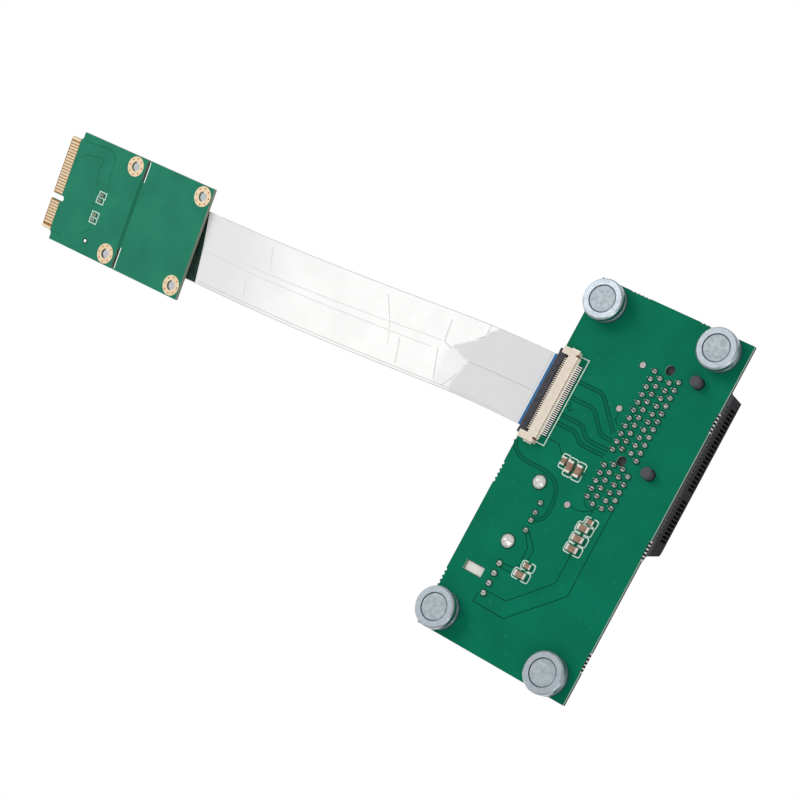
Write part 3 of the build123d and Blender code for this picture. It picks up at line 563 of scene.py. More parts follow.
def foilCable():
    total = cableReach[-1]
    mesh = bmesh.new()
    sheenLayer = mesh.verts.layers.float.new("painted_sheen")
    rows = []
    for i in range(cable["along"] + 1):
        at = total * i / cable["along"]
        spot, side, up = acrossCable(at)
        top, bottom = [], []
        for j in range(cable["across"] + 1):
            q = -math.cos(math.pi * j / cable["across"])
            q = math.copysign(abs(q) ** 1.15, q)
            thick = cable["thick"] / 2 * math.sqrt(max(0.0, 1 - q ** 40))
            high = foilRelief(at / mm, q)
            middle = spot + side * (q * cable["width"] / 2 * mm)
            top.append(mesh.verts.new(middle + up * (thick + high) * mm))
            top[-1][sheenLayer] = paintedFoilSheen(at / mm, q)
            if 0 < j < cable["across"]:
                bottom.append(mesh.verts.new(middle - up * (thick - high * 0.6) * mm))
                bottom[-1][sheenLayer] = 0.8
        rows.append(top + bottom[::-1])
    ring = len(rows[0])
    for i, (a, b) in enumerate(zip(rows, rows[1:])):
        fromBoard = (total - total * (i + 0.5) / cable["along"]) / mm
        for j in range(ring):
            face = mesh.faces.new((a[j], a[(j + 1) % ring], b[(j + 1) % ring], b[j]))
            face.smooth = True
            face.material_index = 1 if fromBoard < cable["filmEnd"] else 0
    mesh.faces.new(rows[0])
    mesh.faces.new(rows[-1][::-1])
    made = piece("foil_cable", mesh, [foilSkin, clearFilm])
    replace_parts(made, "flat_cable")
    return made


drawn = [foilLines("foil_folds", cable["folds"] + [cable["edge"]], cable["foldWide"], foldShade),
         foilLines("foil_borders", cable["faint"], cable["faintWide"], foilFaint),
         foilLines("foil_seams", cable["soft"], cable["faintWide"], seamAndCreaseShade), cardShade()]
foilCable()
print("cable laid")

# solder joints: a round fillet over the clipped pin, whose cut end shows as a dark slit of painted shade
joint = {"outline": [(1.0, 0.0), (0.97, 0.16), (0.9, 0.34), (0.78, 0.54), (0.62, 0.72), (0.44, 0.86), (0.22, 0.96),
                     (0.0, 1.0)],
         "segments": 20, "shrink": 0.86, "slit": (0.98, 0.25), "slitHigh": (0.5, 1.03), "mark": 0.13,
         "markPlace": (-0.95, 0.18), "rim": (0.08, 0.26)}
rims = bmesh.new()


def ringPoints(x, y, radius, sides):
    # a circle on the board as a list of corners, in mm
    return [(x + radius * math.cos(2 * math.pi * a / sides), y + radius * math.sin(2 * math.pi * a / sides))
            for a in range(sides)]


def jointSet(node, name, marks):
    random.seed(7)
    mesh, slits = bmesh.new(), bmesh.new()
    for island in islands(node):
        middle, span = middleOf(island), spanOf(island)
        radius, tall = span.x / 2 / mm * joint["shrink"], span.z / mm
        x, y = fromBoardMid(middle)
        lean, way = random.uniform(0.0, 0.1), random.uniform(0, 2 * math.pi)
        turn, share = random.uniform(-0.35, 0.1), random.uniform(0.75, 1.1)

        def place(dx, dy, height):
            tip = lean * height
            return onBoard(x + dx + tip * math.cos(way), y + dy + tip * math.sin(way), height)

        lathe(mesh, [(r * radius, h * tall * 0.98) for r, h in joint["outline"]], joint["segments"], place)
        long, wide = joint["slit"][0] * share, joint["slit"][1] * share
        ends = [(side * long / 2 * math.cos(turn), side * long / 2 * math.sin(turn)) for side in (-1, 1)]
        low, high = joint["slitHigh"]
        band(slits, ends, wide, place, low * tall * 0.98, high * tall * 0.98)
        rimOut, rimWide = joint["rim"]
        band(rims, ringPoints(x, y, radius + rimOut, 24), rimWide, onBoard, -0.01, 0.02, closed=True)
        if marks:
            dx, dy = joint["markPlace"]
            glints = ringPoints(x + dx, y + dy, joint["mark"] * share / 2, 10)
            band(glintDots, glints, joint["mark"] * share, onBoard, -0.01, 0.03, closed=True)
    made = piece(name, mesh, brightSolder)
    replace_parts(made, node)
    piece(name + "_pin_ends", slits, pinEndShade)


# a small pale dot up and left of each slot joint, a painted highlight on the mask
glintDots = bmesh.new()
jointSet("slot_solder", "slot_joints", True)
jointSet("usb_solder", "data_joints", False)
jointSet("power_solder", "power_joints", False)
piece("painted_glints", glintDots, paintedGlint)

# shield legs: a big round blob drawn up over a flat leg, with a few folds
legJoint = {"outline": [(1.0, 0.0), (1.02, 0.1), (0.97, 0.25), (0.86, 0.42), (0.7, 0.6), (0.5, 0.76), (0.3, 0.88),
                        (0.16, 1.0), (0.0, 1.02)], "segments": 40, "folds": 7, "depth": 0.05,
            "rim": (0.1, 0.24)}


def legJoints():
    mesh = bmesh.new()
    for number, island in enumerate(islands("usb_leg_solder")):
        middle, span = middleOf(island), spanOf(island)
        radius, tall = span.x / 2 / mm, span.z / mm
        x, y = fromBoardMid(middle)

        def place(dx, dy, height):
            return onBoard(x + dx, y + dy, height)

        def fold(angle, share):
            return 1 + legJoint["depth"] * share * math.cos(legJoint["folds"] * angle + number * 2)

        lathe(mesh, [(r * radius * 0.98, h * tall / 1.02) for r, h in legJoint["outline"]], legJoint["segments"],
              place, fold)
        aside, wide = legJoint["rim"]
        band(rims, ringPoints(x, y, radius + aside, 36), wide, onBoard, -0.01, 0.02, closed=True)
    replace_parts(piece("shield_leg_joints", mesh, brightSolder), "usb_leg_solder")


legJoints()
padRim = {"aside": 0.08, "wide": 0.18}
for pad in islands("test_pads"):
    radius = spanOf(pad).x / 2 / mm
    band(rims, ringPoints(*fromBoardMid(middleOf(pad)), radius + padRim["aside"], 24), padRim["wide"], onBoard,
         -0.01, 0.02, closed=True)
piece("mask_rims", rims, trackEdge)
print("solder done")

# tracks under the mask: places on the board in mm; a pair is a band between two dark gaps
tracks = {
    "pairs": [[(-14.2, 20.8), (-6.6, 20.8), (0.2, 13.9)], [(-14.2, 16.85), (-6.9, 16.85), (-2.2, 12.1), (1.0, 12.1)],
              [(-14.2, 12.3), (-7.5, 12.3), (-4.9, 9.75), (1.2, 9.75)],
              [(-14.2, 10.2), (-8.0, 10.2), (-5.9, 8.2), (1.0, 8.2)]],
    "swept": [[(-20.6, 2.6), (-19.4, 0.3), (-16.1, -0.9), (-11.2, -0.6), (-7.8, -1.3), (-5.9, -2.7),
               (-4.8, -5.4), (-4.5, -9.4), (-5.4, -11.2), (-7.2, -11.9)]],
    "single": [[(-14.2, 6.1), (-10.4, 6.1), (-8.6, 4.3), (-7.4, 4.3)], [(-7.3, -15.2), (-4.9, -18.2), (-4.9, -21.2)],
               [(-6.5, -14.8), (-3.4, -17.9), (-3.4, -21.1)], [(-8.6, -23.9), (-5.7, -23.6), (-4.6, -22.4)],
               [(-9.1, -25.0), (-5.6, -24.9)], [(-8.8, -31.1), (-3.4, -31.0), (5.25, -22.1), (5.25, -14.9)],
               [(-10.7, -32.2), (-10.7, -34.6), (-2.0, -34.8), (9.3, -23.5), (9.3, -2.0)],
               [(4.5, -5.9), (5.0, -4.1), (2.6, -3.6), (1.7, -2.6)],
               [(-13.2, 15.6), (-12.5, 15.6), (-12.5, 14.8), (-13.0, 14.6), (-12.3, 13.9), (-11.6, 14.1),
                (-11.6, 14.8)], [(-1.3, 18.7), (-0.7, 17.8), (-1.0, 16.9), (0.3, 15.8)],
               [(-1.2, 30.2), (-0.4, 29.6)]],
    "sweptSingle": [[(-1.0, -5.2), (1.4, -5.5), (3.8, -4.8), (5.6, -2.9)]],
    "gap": 0.17, "pairHalf": 0.42, "singleWide": 0.2,
}


def boardTracks():
    gaps, bands = bmesh.new(), bmesh.new()
    lines = [cornered(line, 0.65) for line in tracks["pairs"]] + [eased(line) for line in tracks["swept"]]
    for line in lines:
        band(bands, line, tracks["pairHalf"] * 2, onBoard, -0.01, 0.008)
        for side in (1, -1):
            band(gaps, offsetLine(line, side * tracks["pairHalf"]), tracks["gap"], onBoard, -0.01, 0.014)
    for line in tracks["single"] + [eased(line) for line in tracks["sweptSingle"]]:
        band(gaps, line, tracks["singleWide"], onBoard, -0.01, 0.014)
    piece("track_bands", bands, trackBand)
    piece("track_gaps", gaps, trackEdge)


boardTracks()

# tracks on the small card, in mm from its near holes: faint darker lines towards the chips
cardTracks = {"lines": [[(-19.3, 12.7), (-10.6, 13.5), (-8.6, 13.0), (-7.3, 11.8), (-6.6, 3.2)],
                        [(-18.2, 8.6), (-17.3, 9.7), (-11.6, 10.4), (-10.9, 9.8), (-11.3, 6.5), (-10.2, 3.0)],
                        [(-20.0, -12.8), (-16.9, -12.5), (-17.0, -13.4)], [(-7.6, -7.9), (-11.2, -11.1)]],
              "dots": [(5.5, 6.2), (11.7, 7.2), (8.1, 4.5), (7.5, 2.9), (11.7, 5.1), (11.7, 3.0), (11.4, 0.6),
                       (7.5, -1.3), (11.7, -1.4), (11.8, -3.7), (7.5, -5.8), (11.7, -5.6), (7.5, -7.9),
                       (11.6, -8.0), (-1.9, 5.8), (-1.0, 2.8), (-1.0, 0.9), (-1.0, -1.3), (-0.7, -3.4),
                       (-0.7, -5.9), (-0.8, -7.7), (-12.0, 5.0), (-12.7, 2.4), (-1.8, -8.6), (-8.9, -14.7),
                       (-14.4, -12.7), (-16.0, -5.5), (-18.1, -2.2), (-0.4, 7.2), (-4.8, 5.3), (-4.9, 9.5),
                       (-4.8, 13.4)],
              "wide": 0.2, "dot": 0.14}


def smallCardTracks():
    mesh = bmesh.new()
    for line in cardTracks["lines"]:
        band(mesh, line, cardTracks["wide"], onCard, -0.03, -0.012)
    for x, y in cardTracks["dots"]:
        band(mesh, ringPoints(x, y, cardTracks["dot"] / 2, 8), cardTracks["dot"], onCard, -0.03, -0.01, closed=True)
    piece("card_tracks", mesh, cardTrack)


smallCardTracks()

# vias: small rims in the mask, scattered round the ground planes
vias = {
    "places": [(-19.4, 30.0), (-11.7, 27.4), (-11.4, 22.8), (-7.8, 22.3), (-9.5, 18.9), (-14.5, 31.6), (-7.8, 26.2),
               (-8.4, 14.4), (-4.0, 11.5), (-3.9, 19.3), (-4.0, 23.5), (-18.6, -12.7), (-12.8, -10.1),
               (-16.1, -6.5), (-19.6, -3.3), (-3.1, -12.7), (11.4, -7.7), (13.9, -11.9), (10.4, -11.5),
               (10.4, -15.7), (10.6, -19.8), (17.9, -15.8), (7.1, -22.7), (4.1, -26.2), (0.7, -29.6),
               (-5.9, -29.2), (-6.7, -32.9), (-3.3, -32.7), (10.0, -27.2), (14.5, -26.2), (18.1, -23.8),
               (17.9, -27.3), (13.9, -32.0), (11.5, -32.9), (4.1, -38.4), (2.9, -41.4), (-5.4, -40.0),
               (-8.4, -39.5), (17.6, -33.4), (-16.3, -16.4), (-3.3, -6.3), (-0.5, -14.0), (6.5, -34.5),
               (0.6, -37.8)],
    "radius": 0.3, "rim": 0.1,
}


def viaRims():
    mesh = bmesh.new()
    for x, y in vias["places"]:
        band(mesh, ringPoints(x, y, vias["radius"], 16), vias["rim"], onBoard, -0.01, 0.012, closed=True)
    piece("board_vias", mesh, viaMask)


viaRims()

# printed outlines: plain lines round the connector and the chips, no lettering
legend = {"line": 0.26, "bracketGap": 0.42, "bracketRound": 0.5, "bracketPast": (0.72, 0.45),
          "connector": [(-15.9, 26.15), (-13.6, 26.15), (-13.6, 4.15), (-15.9, 4.15)],
          "cardLine": 0.28, "cardBox": (2.45, 1.55), "thick": 0.02}


def bracketLine(long, wide, gap, corner):
    # half of a two-part outline: a C open towards the middle, with rounded corners
    points = [(gap, wide)]
    for turn in range(4):
        angle = math.radians(90 - 30 * turn)
        points.append((long - corner + corner * math.cos(angle), wide - corner + corner * math.sin(angle)))
    mirrored = [(x, -y) for x, y in points]
    return points + mirrored[::-1]


def printedOutlines():
    mesh = bmesh.new()
    band(mesh, legend["connector"], legend["line"], onBoard, -0.01, legend["thick"])
    pastEnd, pastSide = legend["bracketPast"]
    for island in islands("capacitor_bodies"):
        middle, span = middleOf(island), spanOf(island)
        x, y = fromBoardMid(middle)
        upright = span.y > span.x
        body, wide = max(span.x, span.y) / mm, min(span.x, span.y) / mm
        long = body / 0.6 / 2 + pastEnd
        half = bracketLine(long, wide / 2 + pastSide, legend["bracketGap"], legend["bracketRound"])
        for side in (1, -1):
            line = [(side * a, b) for a, b in half]
            turned = [(-b, a) if upright else (a, b) for a, b in line]
            band(mesh, [(x + a, y + b) for a, b in turned], legend["line"], onBoard, -0.01, legend["thick"])
    piece("board_outlines", mesh, legendInk)
    card = bmesh.new()
    long, wide = legend["cardBox"]
    for island in islands("card_chip_bodies"):
        offset = middleOf(island) - cardOrigin
        x, y = offset.dot(cardAlong) / mm, offset.dot(cardAcross) / mm
        corners = [(x + a, y + b) for a, b in
                   ((-long / 2, -wide / 2), (long / 2, -wide / 2), (long / 2, wide / 2), (-long / 2, wide / 2))]
        band(card, corners, legend["cardLine"], onCard, -0.01, legend["thick"], closed=True)
    piece("card_outlines", card, legendInk)


printedOutlines()
print("printing and tracks done")


def softened(node, name, material, radius):
    # the CAD node's own shape with its edges rounded, in mm
    mesh = bmesh.new()
    mesh.from_mesh(nodes[node].data)
    bmesh.ops.remove_doubles(mesh, verts=mesh.verts, dist=1e-6)
    bmesh.ops.dissolve_limit(mesh, angle_limit=math.radians(1), verts=mesh.verts, edges=mesh.edges)
    sharp = [e for e in mesh.edges if len(e.link_faces) == 2 and e.calc_face_angle(0) > math.radians(30)]
    bmesh.ops.bevel(mesh, geom=sharp, offset=radius * mm, segments=2, affect="EDGES", profile=0.6,
                    clamp_overlap=True)
    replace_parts(piece(name, mesh, material), node)


softened("capacitor_ends", "capacitor_caps", tinPlate, 0.1)
softened("card_chip_ends", "card_chip_caps", tinPlate, 0.05)


def box(mesh, x0, x1, y0, y1, z0, z1, place=onBoard):
    # a plain box between two corners, in mm
    corners = [mesh.verts.new(place(x, y, z)) for x in (x0, x1) for y in (y0, y1) for z in (z0, z1)]
    for a, b, c, d in ((0, 1, 3, 2), (4, 6, 7, 5), (0, 4, 5, 1), (2, 3, 7, 6), (0, 2, 6, 4), (1, 5, 7, 3)):
        mesh.faces.new((corners[a], corners[b], corners[c], corners[d]))


def prism(mesh, points, x0, x1, place=onBoard):
    # a closed Y-Z outline carried along X, in mm
    ends = [[mesh.verts.new(place(x, y, z)) for y, z in points] for x in (x0, x1)]
    for a, b, c, d in zip(ends[0], ends[0][1:] + ends[0][:1], ends[1][1:] + ends[1][:1], ends[1]):
        mesh.faces.new((a, b, c, d))
    mesh.faces.new(ends[0])
    mesh.faces.new(ends[1][::-1])


def carved(body, cutter):
    # one closed mesh less another, by an exact boolean
    holders = []
    for name, mesh in (("body", body), ("cutter", cutter)):
        bmesh.ops.recalc_face_normals(mesh, faces=mesh.faces)
        data = bpy.data.meshes.new(name)
        mesh.to_mesh(data)
        mesh.free()
        holders.append(bpy.data.objects.new(name, data))
        bpy.context.scene.collection.objects.link(holders[-1])
    cut = holders[0].modifiers.new("cut", "BOOLEAN")
    cut.object, cut.operation, cut.solver = holders[1], "DIFFERENCE", "EXACT"
    shown = holders[0].evaluated_get(bpy.context.evaluated_depsgraph_get())
    result = bmesh.new()
    result.from_mesh(shown.to_mesh())
    shown.to_mesh_clear()
    for holder in holders:
        data = holder.data
        bpy.data.objects.remove(holder)
        bpy.data.meshes.remove(data)
    return result


# board connector, measured from its mouth: a flat cover with a comb along its front edge, a rear face with a
# groove and a dimple over each way, cheeks that reach forward past the lock bar, and gull-wing tails over bare
# laminate
low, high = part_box("board_connector_housing")
connector = {"mouth": (high.x - boardMid.x) / mm - 4.9, "middle": ((low.y + high.y) / 2 - boardMid.y) / mm,
             "half": 11.7, "wall": 0.78, "shelf": 0.65, "sill": 0.62, "high": 2.0, "rear": 4.85, "ways": 36,
             "pitch": 0.5, "comb": (2.13, 2.72), "combWide": 0.22, "combLow": 1.5, "roof": 1.1, "ledge": 5.12,
             "ledgeHigh": 1.92, "ledgeHalf": 10.4, "dimple": ((0.95, 1.25), 0.24), "groove": (1.62, 1.8),
             "cheek": 9.96, "cheekFrom": 0.72,
             "notch": (0.34, 0.5), "tail": [(-0.1, 0.75), (0.05, 0.7), (0.2, 0.16), (1.3, 0.1)], "tailWide": 0.19,
             "tailThick": 0.1, "field": (-0.1, 1.32), "fieldPast": 0.3}
# lock bar: its side outline about the pivot, with a narrow lip outside the cheeks and a tooth over each way
lockBar = {"pivot": (1.7, 1.55), "round": 0.4, "half": 10.86, "lip": 0.65, "teeth": 2.25, "toothWide": 0.24,
           "toothHigh": (1.4, 1.7), "lug": (9.2, 9.86), "outline": [(0.2, 1.95), (0, 1.75), (0, 1.4), (0.25, 1.15)]}


def boardConnector():
    mouth, middle, half = connector["mouth"], connector["middle"], connector["half"]
    rear, sill, top = connector["rear"], connector["sill"], connector["high"]
    combFrom, combTo = connector["comb"]
    ways = [middle + (way - (connector["ways"] - 1) / 2) * connector["pitch"] for way in range(connector["ways"])]
    reach, back = half - connector["wall"], mouth + connector["ledge"]
    shell, shade, field, tails = bmesh.new(), bmesh.new(), bmesh.new(), bmesh.new()
    box(shell, mouth + connector["shelf"], mouth + rear, middle - half, middle + half, 0, sill)
    box(shell, mouth + combTo, mouth + rear, middle - reach, middle + reach, connector["roof"], top)
    for side in (1, -1):
        box(shell, mouth + connector["cheekFrom"], mouth + rear, *sorted((middle + side * reach,
            middle + side * half)), sill, top)
        box(shell, mouth + connector["cheekFrom"], mouth + combTo, *sorted((middle + side * connector["cheek"],
            middle + side * reach)), sill, top)
        box(shell, mouth + rear - 0.2, mouth + rear + 0.12, *sorted((middle + side * (half - 0.75),
            middle + side * half)), sill, top - 0.2)
    for y in [y + connector["pitch"] / 2 for y in ways[:-1]] + [ways[0] - connector["pitch"] / 2,
                                                                ways[-1] + connector["pitch"] / 2]:
        box(shell, mouth + combFrom, mouth + combTo, y - connector["combWide"] / 2, y + connector["combWide"] / 2,
            connector["combLow"], top)
    made = piece("connector_body", shell, beigePolymer)
    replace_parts(made, "board_connector_housing")
    box(shade, mouth + combFrom + 0.2, mouth + combTo + 0.02, middle - connector["cheek"], middle + connector["cheek"],
        connector["roof"], connector["roof"] + 0.2)
    piece("connector_comb_shade", shade, recessShade)
    long, wide = connector["dimple"]
    grooves, brown, rearFace = bmesh.new(), bmesh.new(), bmesh.new()
    for y in ways:
        box(grooves, back - 0.1, back + 0.004, y - wide / 2, y + wide / 2, *long)
    box(grooves, back - 0.1, back + 0.004, middle - connector["ledgeHalf"], middle + connector["ledgeHalf"],
        *connector["groove"])
    box(rearFace, mouth + rear - 0.2, back, middle - connector["ledgeHalf"], middle + connector["ledgeHalf"], 0,
        connector["ledgeHigh"])
    piece("connector_rear", rearFace, beigeLit)
    piece("connector_dimples", grooves, beigeShade)
    long, wide = connector["notch"]
    for side in (1, -1):
        ends = sorted((middle + side * (half - 1.35), middle + side * (half - 1.35 + wide)))
        box(brown, mouth + rear - long, mouth + rear + 0.03, *ends, sill, top + 0.004)
    piece("connector_foot_recess", brown, footBrown)
    for y in ways:
        rows = []
        for x, z in connector["tail"]:
            rows.append([tails.verts.new(onBoard(back + x, y + side * connector["tailWide"] / 2, z + lift))
                         for side, lift in ((-1, 0), (1, 0), (1, connector["tailThick"]),
                                            (-1, connector["tailThick"]))])
        for a, b in zip(rows, rows[1:]):
            for i in range(4):
                tails.faces.new((a[i], a[(i + 1) % 4], b[(i + 1) % 4], b[i]))
        tails.faces.new(rows[0])
        tails.faces.new(rows[-1][::-1])
    made = piece("connector_tails", tails, tailTinGlow)
    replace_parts(made, "board_connector_contacts")
    start, stop = connector["field"]
    past = ways[-1] - middle + connector["fieldPast"]
    box(field, back + start, back + stop, middle - past, middle + past, -0.01, 0.03)
    piece("connector_field", field, bareShade)

    def fromMouth(y, x, z):
        return onBoard(mouth + x, middle + y, z)

    bar = bmesh.new()
    px, pz = lockBar["pivot"]
    arc = [(px + lockBar["round"] * math.cos(math.radians(a)), pz + lockBar["round"] * math.sin(math.radians(a)))
           for a in range(-90, 91, 15)]
    prism(bar, arc + lockBar["outline"], -connector["cheek"] + 0.04, connector["cheek"] - 0.04, fromMouth)
    low, high = lockBar["toothHigh"]
    for y in ways:
        box(bar, mouth + px, mouth + lockBar["teeth"], y - lockBar["toothWide"] / 2, y + lockBar["toothWide"] / 2,
            low, high)
    for side in (1, -1):
        ends = sorted((middle + side * (connector["cheek"] - 0.1), middle + side * lockBar["half"]))
        box(bar, mouth + 0.02, mouth + lockBar["lip"], *ends, 1.3, 1.9)
        ends = sorted(middle + side * y for y in lockBar["lug"])
        box(bar, mouth + px, mouth + lockBar["teeth"], *ends, low, high)
    made = piece("connector_lock_bar", bar, leverPolymer, "board_lock")
    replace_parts(made, "board_connector_lever")


boardConnector()

# slot housing: its mouth lies under the board's edge, with a window over each contact, a deep cavity at each
# and a thin lower lip; its lower end leans out to a foot under the board
slotShape = {"back": 9.13, "mouth": 20.64, "floor": -8.9, "under": -1.2, "plate": (1.0, 9.3, -6.5, 33.4, -2.3),
             "outline": [(33.7, -1.2), (33.45, -2.0), (33.07, -8.9), (-4.9, -8.9), (-5.5, -8.75), (-5.86, -8.35),
                         (-7.3, -2.1), (-8.0, -1.75), (-8.8, -1.6), (-8.8, -1.2)],
             "windows": (-3.0, -2.3, 0.5), "windowDeep": 1.6, "cavities": (-8.15, -4.95, 0.6), "cavityDeep": 9.0,
             "groove": (-6.75, -5.05, 8.6), "grooveEnds": ((10.3, 31.6), (-3.6, 7.7)), "rib": 0.16,
             "first": 30.47, "long": 21, "short": 11, "gap": 3.0,
             "pegs": ((12.85, 32.15), (12.85, 9.0)),
             "peg": [(1.36, 0.0), (1.36, 3.1), (1.28, 3.4), (1.05, 3.62), (0.6, 3.7), (0.5, 3.62), (0.0, 3.62)]}


def slotVisual():
    ys = [slotShape["first"] - i for i in range(slotShape["long"])]
    ys += [ys[-1] - slotShape["gap"] - i for i in range(slotShape["short"])]
    body, cutter = bmesh.new(), bmesh.new()
    mouth = slotShape["mouth"]
    prism(body, slotShape["outline"], slotShape["back"], mouth)
    for y in ys:
        low, high, wide = slotShape["windows"]
        box(cutter, mouth - slotShape["windowDeep"], mouth + 1, y - wide / 2, y + wide / 2, low, high)
        low, high, wide = slotShape["cavities"]
        box(cutter, mouth - slotShape["cavityDeep"], mouth + 1, y - wide / 2, y + wide / 2, low, high)
    made = carved(body, cutter)
    second = bmesh.new()
    low, high, deep = slotShape["groove"]
    for y0, y1 in slotShape["grooveEnds"]:
        box(second, mouth - deep, mouth - slotShape["rib"], y0, y1, low, high)
    made = carved(made, second)
    x0, x1, y0, y1, z0 = slotShape["plate"]
    box(made, x0, x1, y0, y1, z0, slotShape["under"])
    for x, y in slotShape["pegs"]:
        def place(dx, dy, height):
            return onBoard(x + dx, y + dy, height + slotShape["under"])
        lathe(made, slotShape["peg"], 28, place)
    shown = piece("slot_moulding", made, slotNylon)
    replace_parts(shown, "slot_housing")


slotVisual()

# gold fingers stand on bare laminate, which shows tan between them; ring pads carry small plated dimples
cardBare = {"tip": -23.9, "root": -20.75, "half": 12.7, "lastFinger": 11.95, "notch": (-4.75, -2.95), "high": 0.02,
            "dimples": 8, "dimpleRound": 2.1, "dimple": 0.2, "ring": (1.3, 2.66), "ringHigh": 0.03,
            "bore": (1.02, 0.16, -0.25),
            # the two slits: a dark wall and the bench seen through; the scored line between them; the small hole
            "slitAt": 4.35, "slits": ((14.6, 9.1), (-8.9, -14.6)), "wall": 0.42, "through": 0.24,
            "score": 1.2, "scoreAt": 3.65,
            "hole": (-7.9, -11.35, 0.44, 0.36)}


def onCardFace(x, y, lift):
    # heights over the card's bare face; the rings' middles, which onCard counts from, lie half a plating higher
    return onCard(x, y, lift - 0.025)


def cardDetails():
    bare, dimples = bmesh.new(), bmesh.new()
    for y0, y1 in ((-cardBare["half"], cardBare["notch"][0]), (cardBare["notch"][1], cardBare["half"])):
        box(bare, cardBare["tip"], cardBare["root"], y0, y1, -0.02, cardBare["high"], onCardFace)
    piece("card_finger_ground", bare, tanLaminate)
    rings, bores, ends = bmesh.new(), bmesh.new(), bmesh.new()
    for y0, y1 in ((-cardBare["half"], -cardBare["lastFinger"]), (cardBare["lastFinger"], cardBare["half"])):
        box(ends, cardBare["tip"], cardBare["root"], y0, y1, -0.02, 0.04, onCardFace)
    piece("card_end_fingers", ends, ringGold)
    inner, outer = cardBare["ring"]
    for ring in ringMiddles:
        offset = ring - cardOrigin
        x, y, lift = (offset.dot(way) / mm for way in (cardAlong, cardAcross, cardUp))
        band(rings, ringPoints(x, y, (inner + outer) / 2, 48), outer - inner, onCard, lift - 0.025,
             lift - 0.025 + cardBare["ringHigh"], closed=True)
    made = piece("ring_pads", rings, ringGold)
    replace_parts(made, "card_ring_pads")
    for ring in topRings:
        offset = ring - cardOrigin
        x, y = offset.dot(cardAlong) / mm, offset.dot(cardAcross) / mm
        radius, aside, deep = cardBare["bore"]
        band(bores, ringPoints(x + aside, y, radius / 2, 24), radius, onCardFace, deep - 0.05, deep, closed=True)
        for spot in ringPoints(x, y, cardBare["dimpleRound"], cardBare["dimples"]):
            band(dimples, ringPoints(*spot, cardBare["dimple"] / 2, 8), cardBare["dimple"], onCard, -0.01, 0.035,
                 closed=True)
    piece("ring_dimples", dimples, dullGold)
    piece("ring_bores", bores, boreGrey)


def cardCuts():
    walls, through, score = bmesh.new(), bmesh.new(), bmesh.new()
    at = cardBare["slitAt"]
    for ends in cardBare["slits"]:
        for mesh, shift, wide in ((walls, -0.2, cardBare["wall"]), (through, 0.14, cardBare["through"])):
            band(mesh, [(at + shift, y) for y in ends], wide, onCardFace, -0.3, 0.012)
    band(score, [(cardBare["scoreAt"], y) for y in (cardBare["slits"][0][1], cardBare["slits"][1][0])],
         cardBare["score"], onCardFace, -0.3, 0.008)
    x, y, radius, rim = cardBare["hole"]
    band(walls, ringPoints(x, y, radius + rim / 2, 20), rim, onCardFace, -0.3, 0.01, closed=True)
    band(through, ringPoints(x, y, radius / 2, 20), radius, onCardFace, -0.3, 0.012, closed=True)
    piece("card_cut_walls", walls, cutShade)
    piece("card_cuts_seen_through", through, seenThrough)
    piece("card_score", score, cardTrack)


cardDetails()
cardCuts()

# the snapped tabs on the board's right edge: broken laminate shows pale between the drilled bites, which carry painted
# shade
snapped = {"tabs": (19.3, 51.3, 79.4), "count": 6, "pitch": 0.905, "wide": 0.4, "deep": 1.15, "half": 2.5}


def snappedTabs():
    mesh, bites = bmesh.new(), bmesh.new()
    right, top = fromBoardMid(boardHigh)
    for tab in snapped["tabs"]:
        box(bites, right - 0.1, right + 0.01, top - tab - snapped["half"], top - tab + snapped["half"],
            -snapped["deep"], 0.004)
        for i in range(snapped["count"]):
            y = top - tab + (i - (snapped["count"] - 1) / 2) * snapped["pitch"]
            box(mesh, right - 0.04, right + 0.02, y - snapped["wide"] / 2, y + snapped["wide"] / 2, -snapped["deep"],
                0.012)
    piece("snapped_tabs", mesh, brokenLaminate)
    piece("tab_bites", bites, recessShade)


snappedTabs()
print("small details done")

finishes = {
    "main_board": boardMask, "card_board": cardMask, "slot_housing": blackNylon,
    "slot_contacts_near": goldPlate, "slot_contacts_far": goldPlate, "usb_shell": shellNickel,
    "usb_tongue": whiteNylon, "usb_contacts": goldPlate, "power_header": whiteNylon, "power_pins": tinPlate,
    "test_pads": dullTin, "capacitor_bodies": ceramicBrown, "card_chip_bodies": ceramicBrown,
    "board_connector_housing": beigePolymer, "board_connector_lever": leverPolymer,
    "board_connector_contacts": tinPlate, "board_connector_anchors": tinPlate,
    "card_connector_housing": beigePolymer, "card_connector_lever": leverPolymer,
    "card_connector_contacts": tinPlate, "card_connector_anchors": tinPlate,
    "cable_stiffener_board": stiffenerTape, "cable_stiffener_card": blueFilm, "flat_cable": foilSkin,
    "card_fingers": goldPlate, "card_ring_pads": ringGold, "slot_solder": brightSolder,
    "usb_solder": brightSolder, "usb_leg_solder": brightSolder, "power_solder": brightSolder,
    "capacitor_ends": tinPlate, "card_chip_ends": tinPlate,
}
for number in range(1, 5):
    finishes[f"foot_cup_{number}"] = zincSteel
    finishes[f"foot_magnet_{number}"] = magnetPlate
    finishes[f"foot_screw_{number}"] = zincSteel
for name, node in nodes.items():
    node.data.materials.clear()
    node.data.materials.append(finishes[name])
print("finishes set")

# studio: pale floor, a large soft lamp above and left of the view, an even pale surround
studio = {"floorSize": 3.0, "floorDrop": 0.0003, "surround": 0.62, "lowSurround": 0.42,
          "keyPlace": (-0.75, 0.3, 0.8), "keySize": 0.6, "keyPower": 4.6,
          "fillPlace": (0.6, -0.35, 0.5), "fillSize": 0.5, "fillPower": 0.9}


def softLamp(name, place, size, power):
    lamp = bpy.data.lights.new(name, "AREA")
    lamp.size, lamp.energy = size, power
    holder = bpy.data.objects.new(name, lamp)
    holder.location = place
    holder.rotation_euler = (Vector((0, 0, 0)) - Vector(place)).to_track_quat("-Z", "Y").to_euler()
    bpy.context.scene.collection.objects.link(holder)


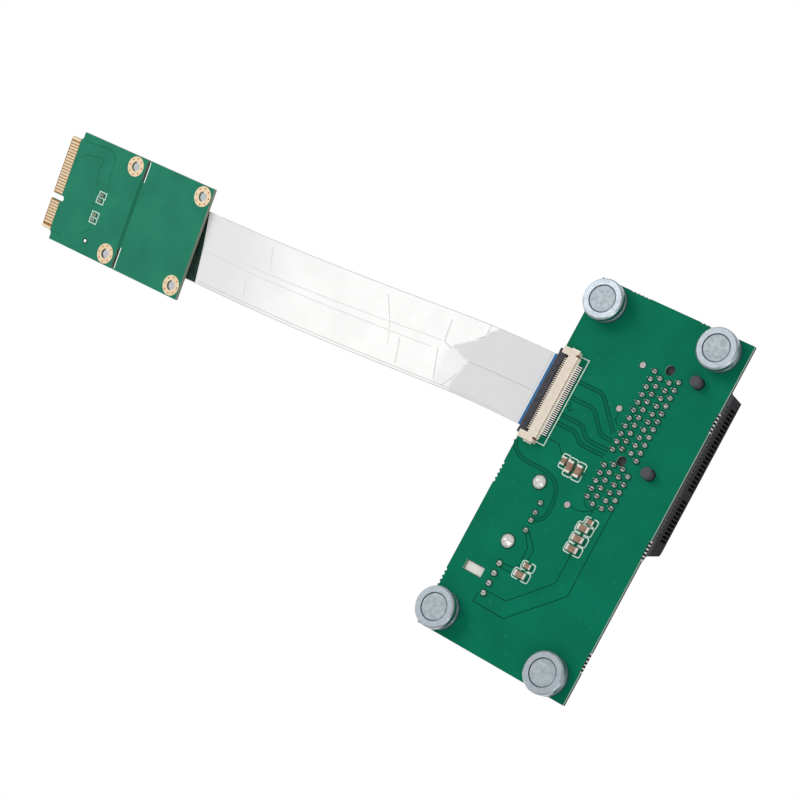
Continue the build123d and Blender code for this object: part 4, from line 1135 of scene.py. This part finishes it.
def floorMaterial():
    # matte paper, seen pure white by the camera, as in the cut-out photo
    material, tree, shader = newMaterial("matte white paper", {"Base Color": linear("#F4F4F4"), "Roughness": 0.9})
    rays = add(tree, "LightPath")
    seen = add(tree, "Math", {0: rays.outputs["Is Camera Ray"], 1: rays.outputs["Is Glossy Ray"]},
               operation="MAXIMUM")
    seenToo = add(tree, "Math", {0: seen.outputs[0], 1: rays.outputs["Is Transmission Ray"]}, operation="MAXIMUM")
    white = add(tree, "Emission", {"Color": (1, 1, 1, 1), "Strength": 1.0})
    blend = add(tree, "MixShader", {0: seenToo.outputs[0], 1: shader.outputs[0], 2: white.outputs[0]})
    tree.links.new(blend.outputs[0], tree.nodes["Material Output"].inputs["Surface"])
    return material


def studioWorld():
    world = bpy.data.worlds.new("studio")
    bpy.context.scene.world = world
    world.use_nodes = True
    tree = world.node_tree
    rays = add(tree, "LightPath")
    height = add(tree, "SeparateXYZ", {"Vector": add(tree, "TexCoord").outputs["Generated"]})
    upper = add(tree, "MapRange", {"Value": height.outputs["Z"], "From Min": -0.1, "From Max": 0.7,
                                   "To Min": studio["lowSurround"], "To Max": studio["surround"]})
    level = add(tree, "Mix", {0: rays.outputs["Is Camera Ray"], 2: upper.outputs[0], 3: 1.0})
    surround = add(tree, "Background", {"Color": (1, 1, 1, 1), "Strength": level.outputs[0]})
    tree.links.new(surround.outputs[0], tree.nodes["World Output"].inputs["Surface"])


floor = bmesh.new()
bmesh.ops.create_grid(floor, x_segments=1, y_segments=1, size=studio["floorSize"] / 2,
                      matrix=Matrix.Translation((0, 0, -studio["floorDrop"])))
floorData = bpy.data.meshes.new("floor")
floor.to_mesh(floorData)
floor.free()
floorObject = bpy.data.objects.new("floor", floorData)
floorData.materials.append(floorMaterial())
bpy.context.scene.collection.objects.link(floorObject)
studioWorld()
softLamp("key", studio["keyPlace"], studio["keySize"], studio["keyPower"])
softLamp("fill", studio["fillPlace"], studio["fillSize"], studio["fillPower"])
print("studio set")
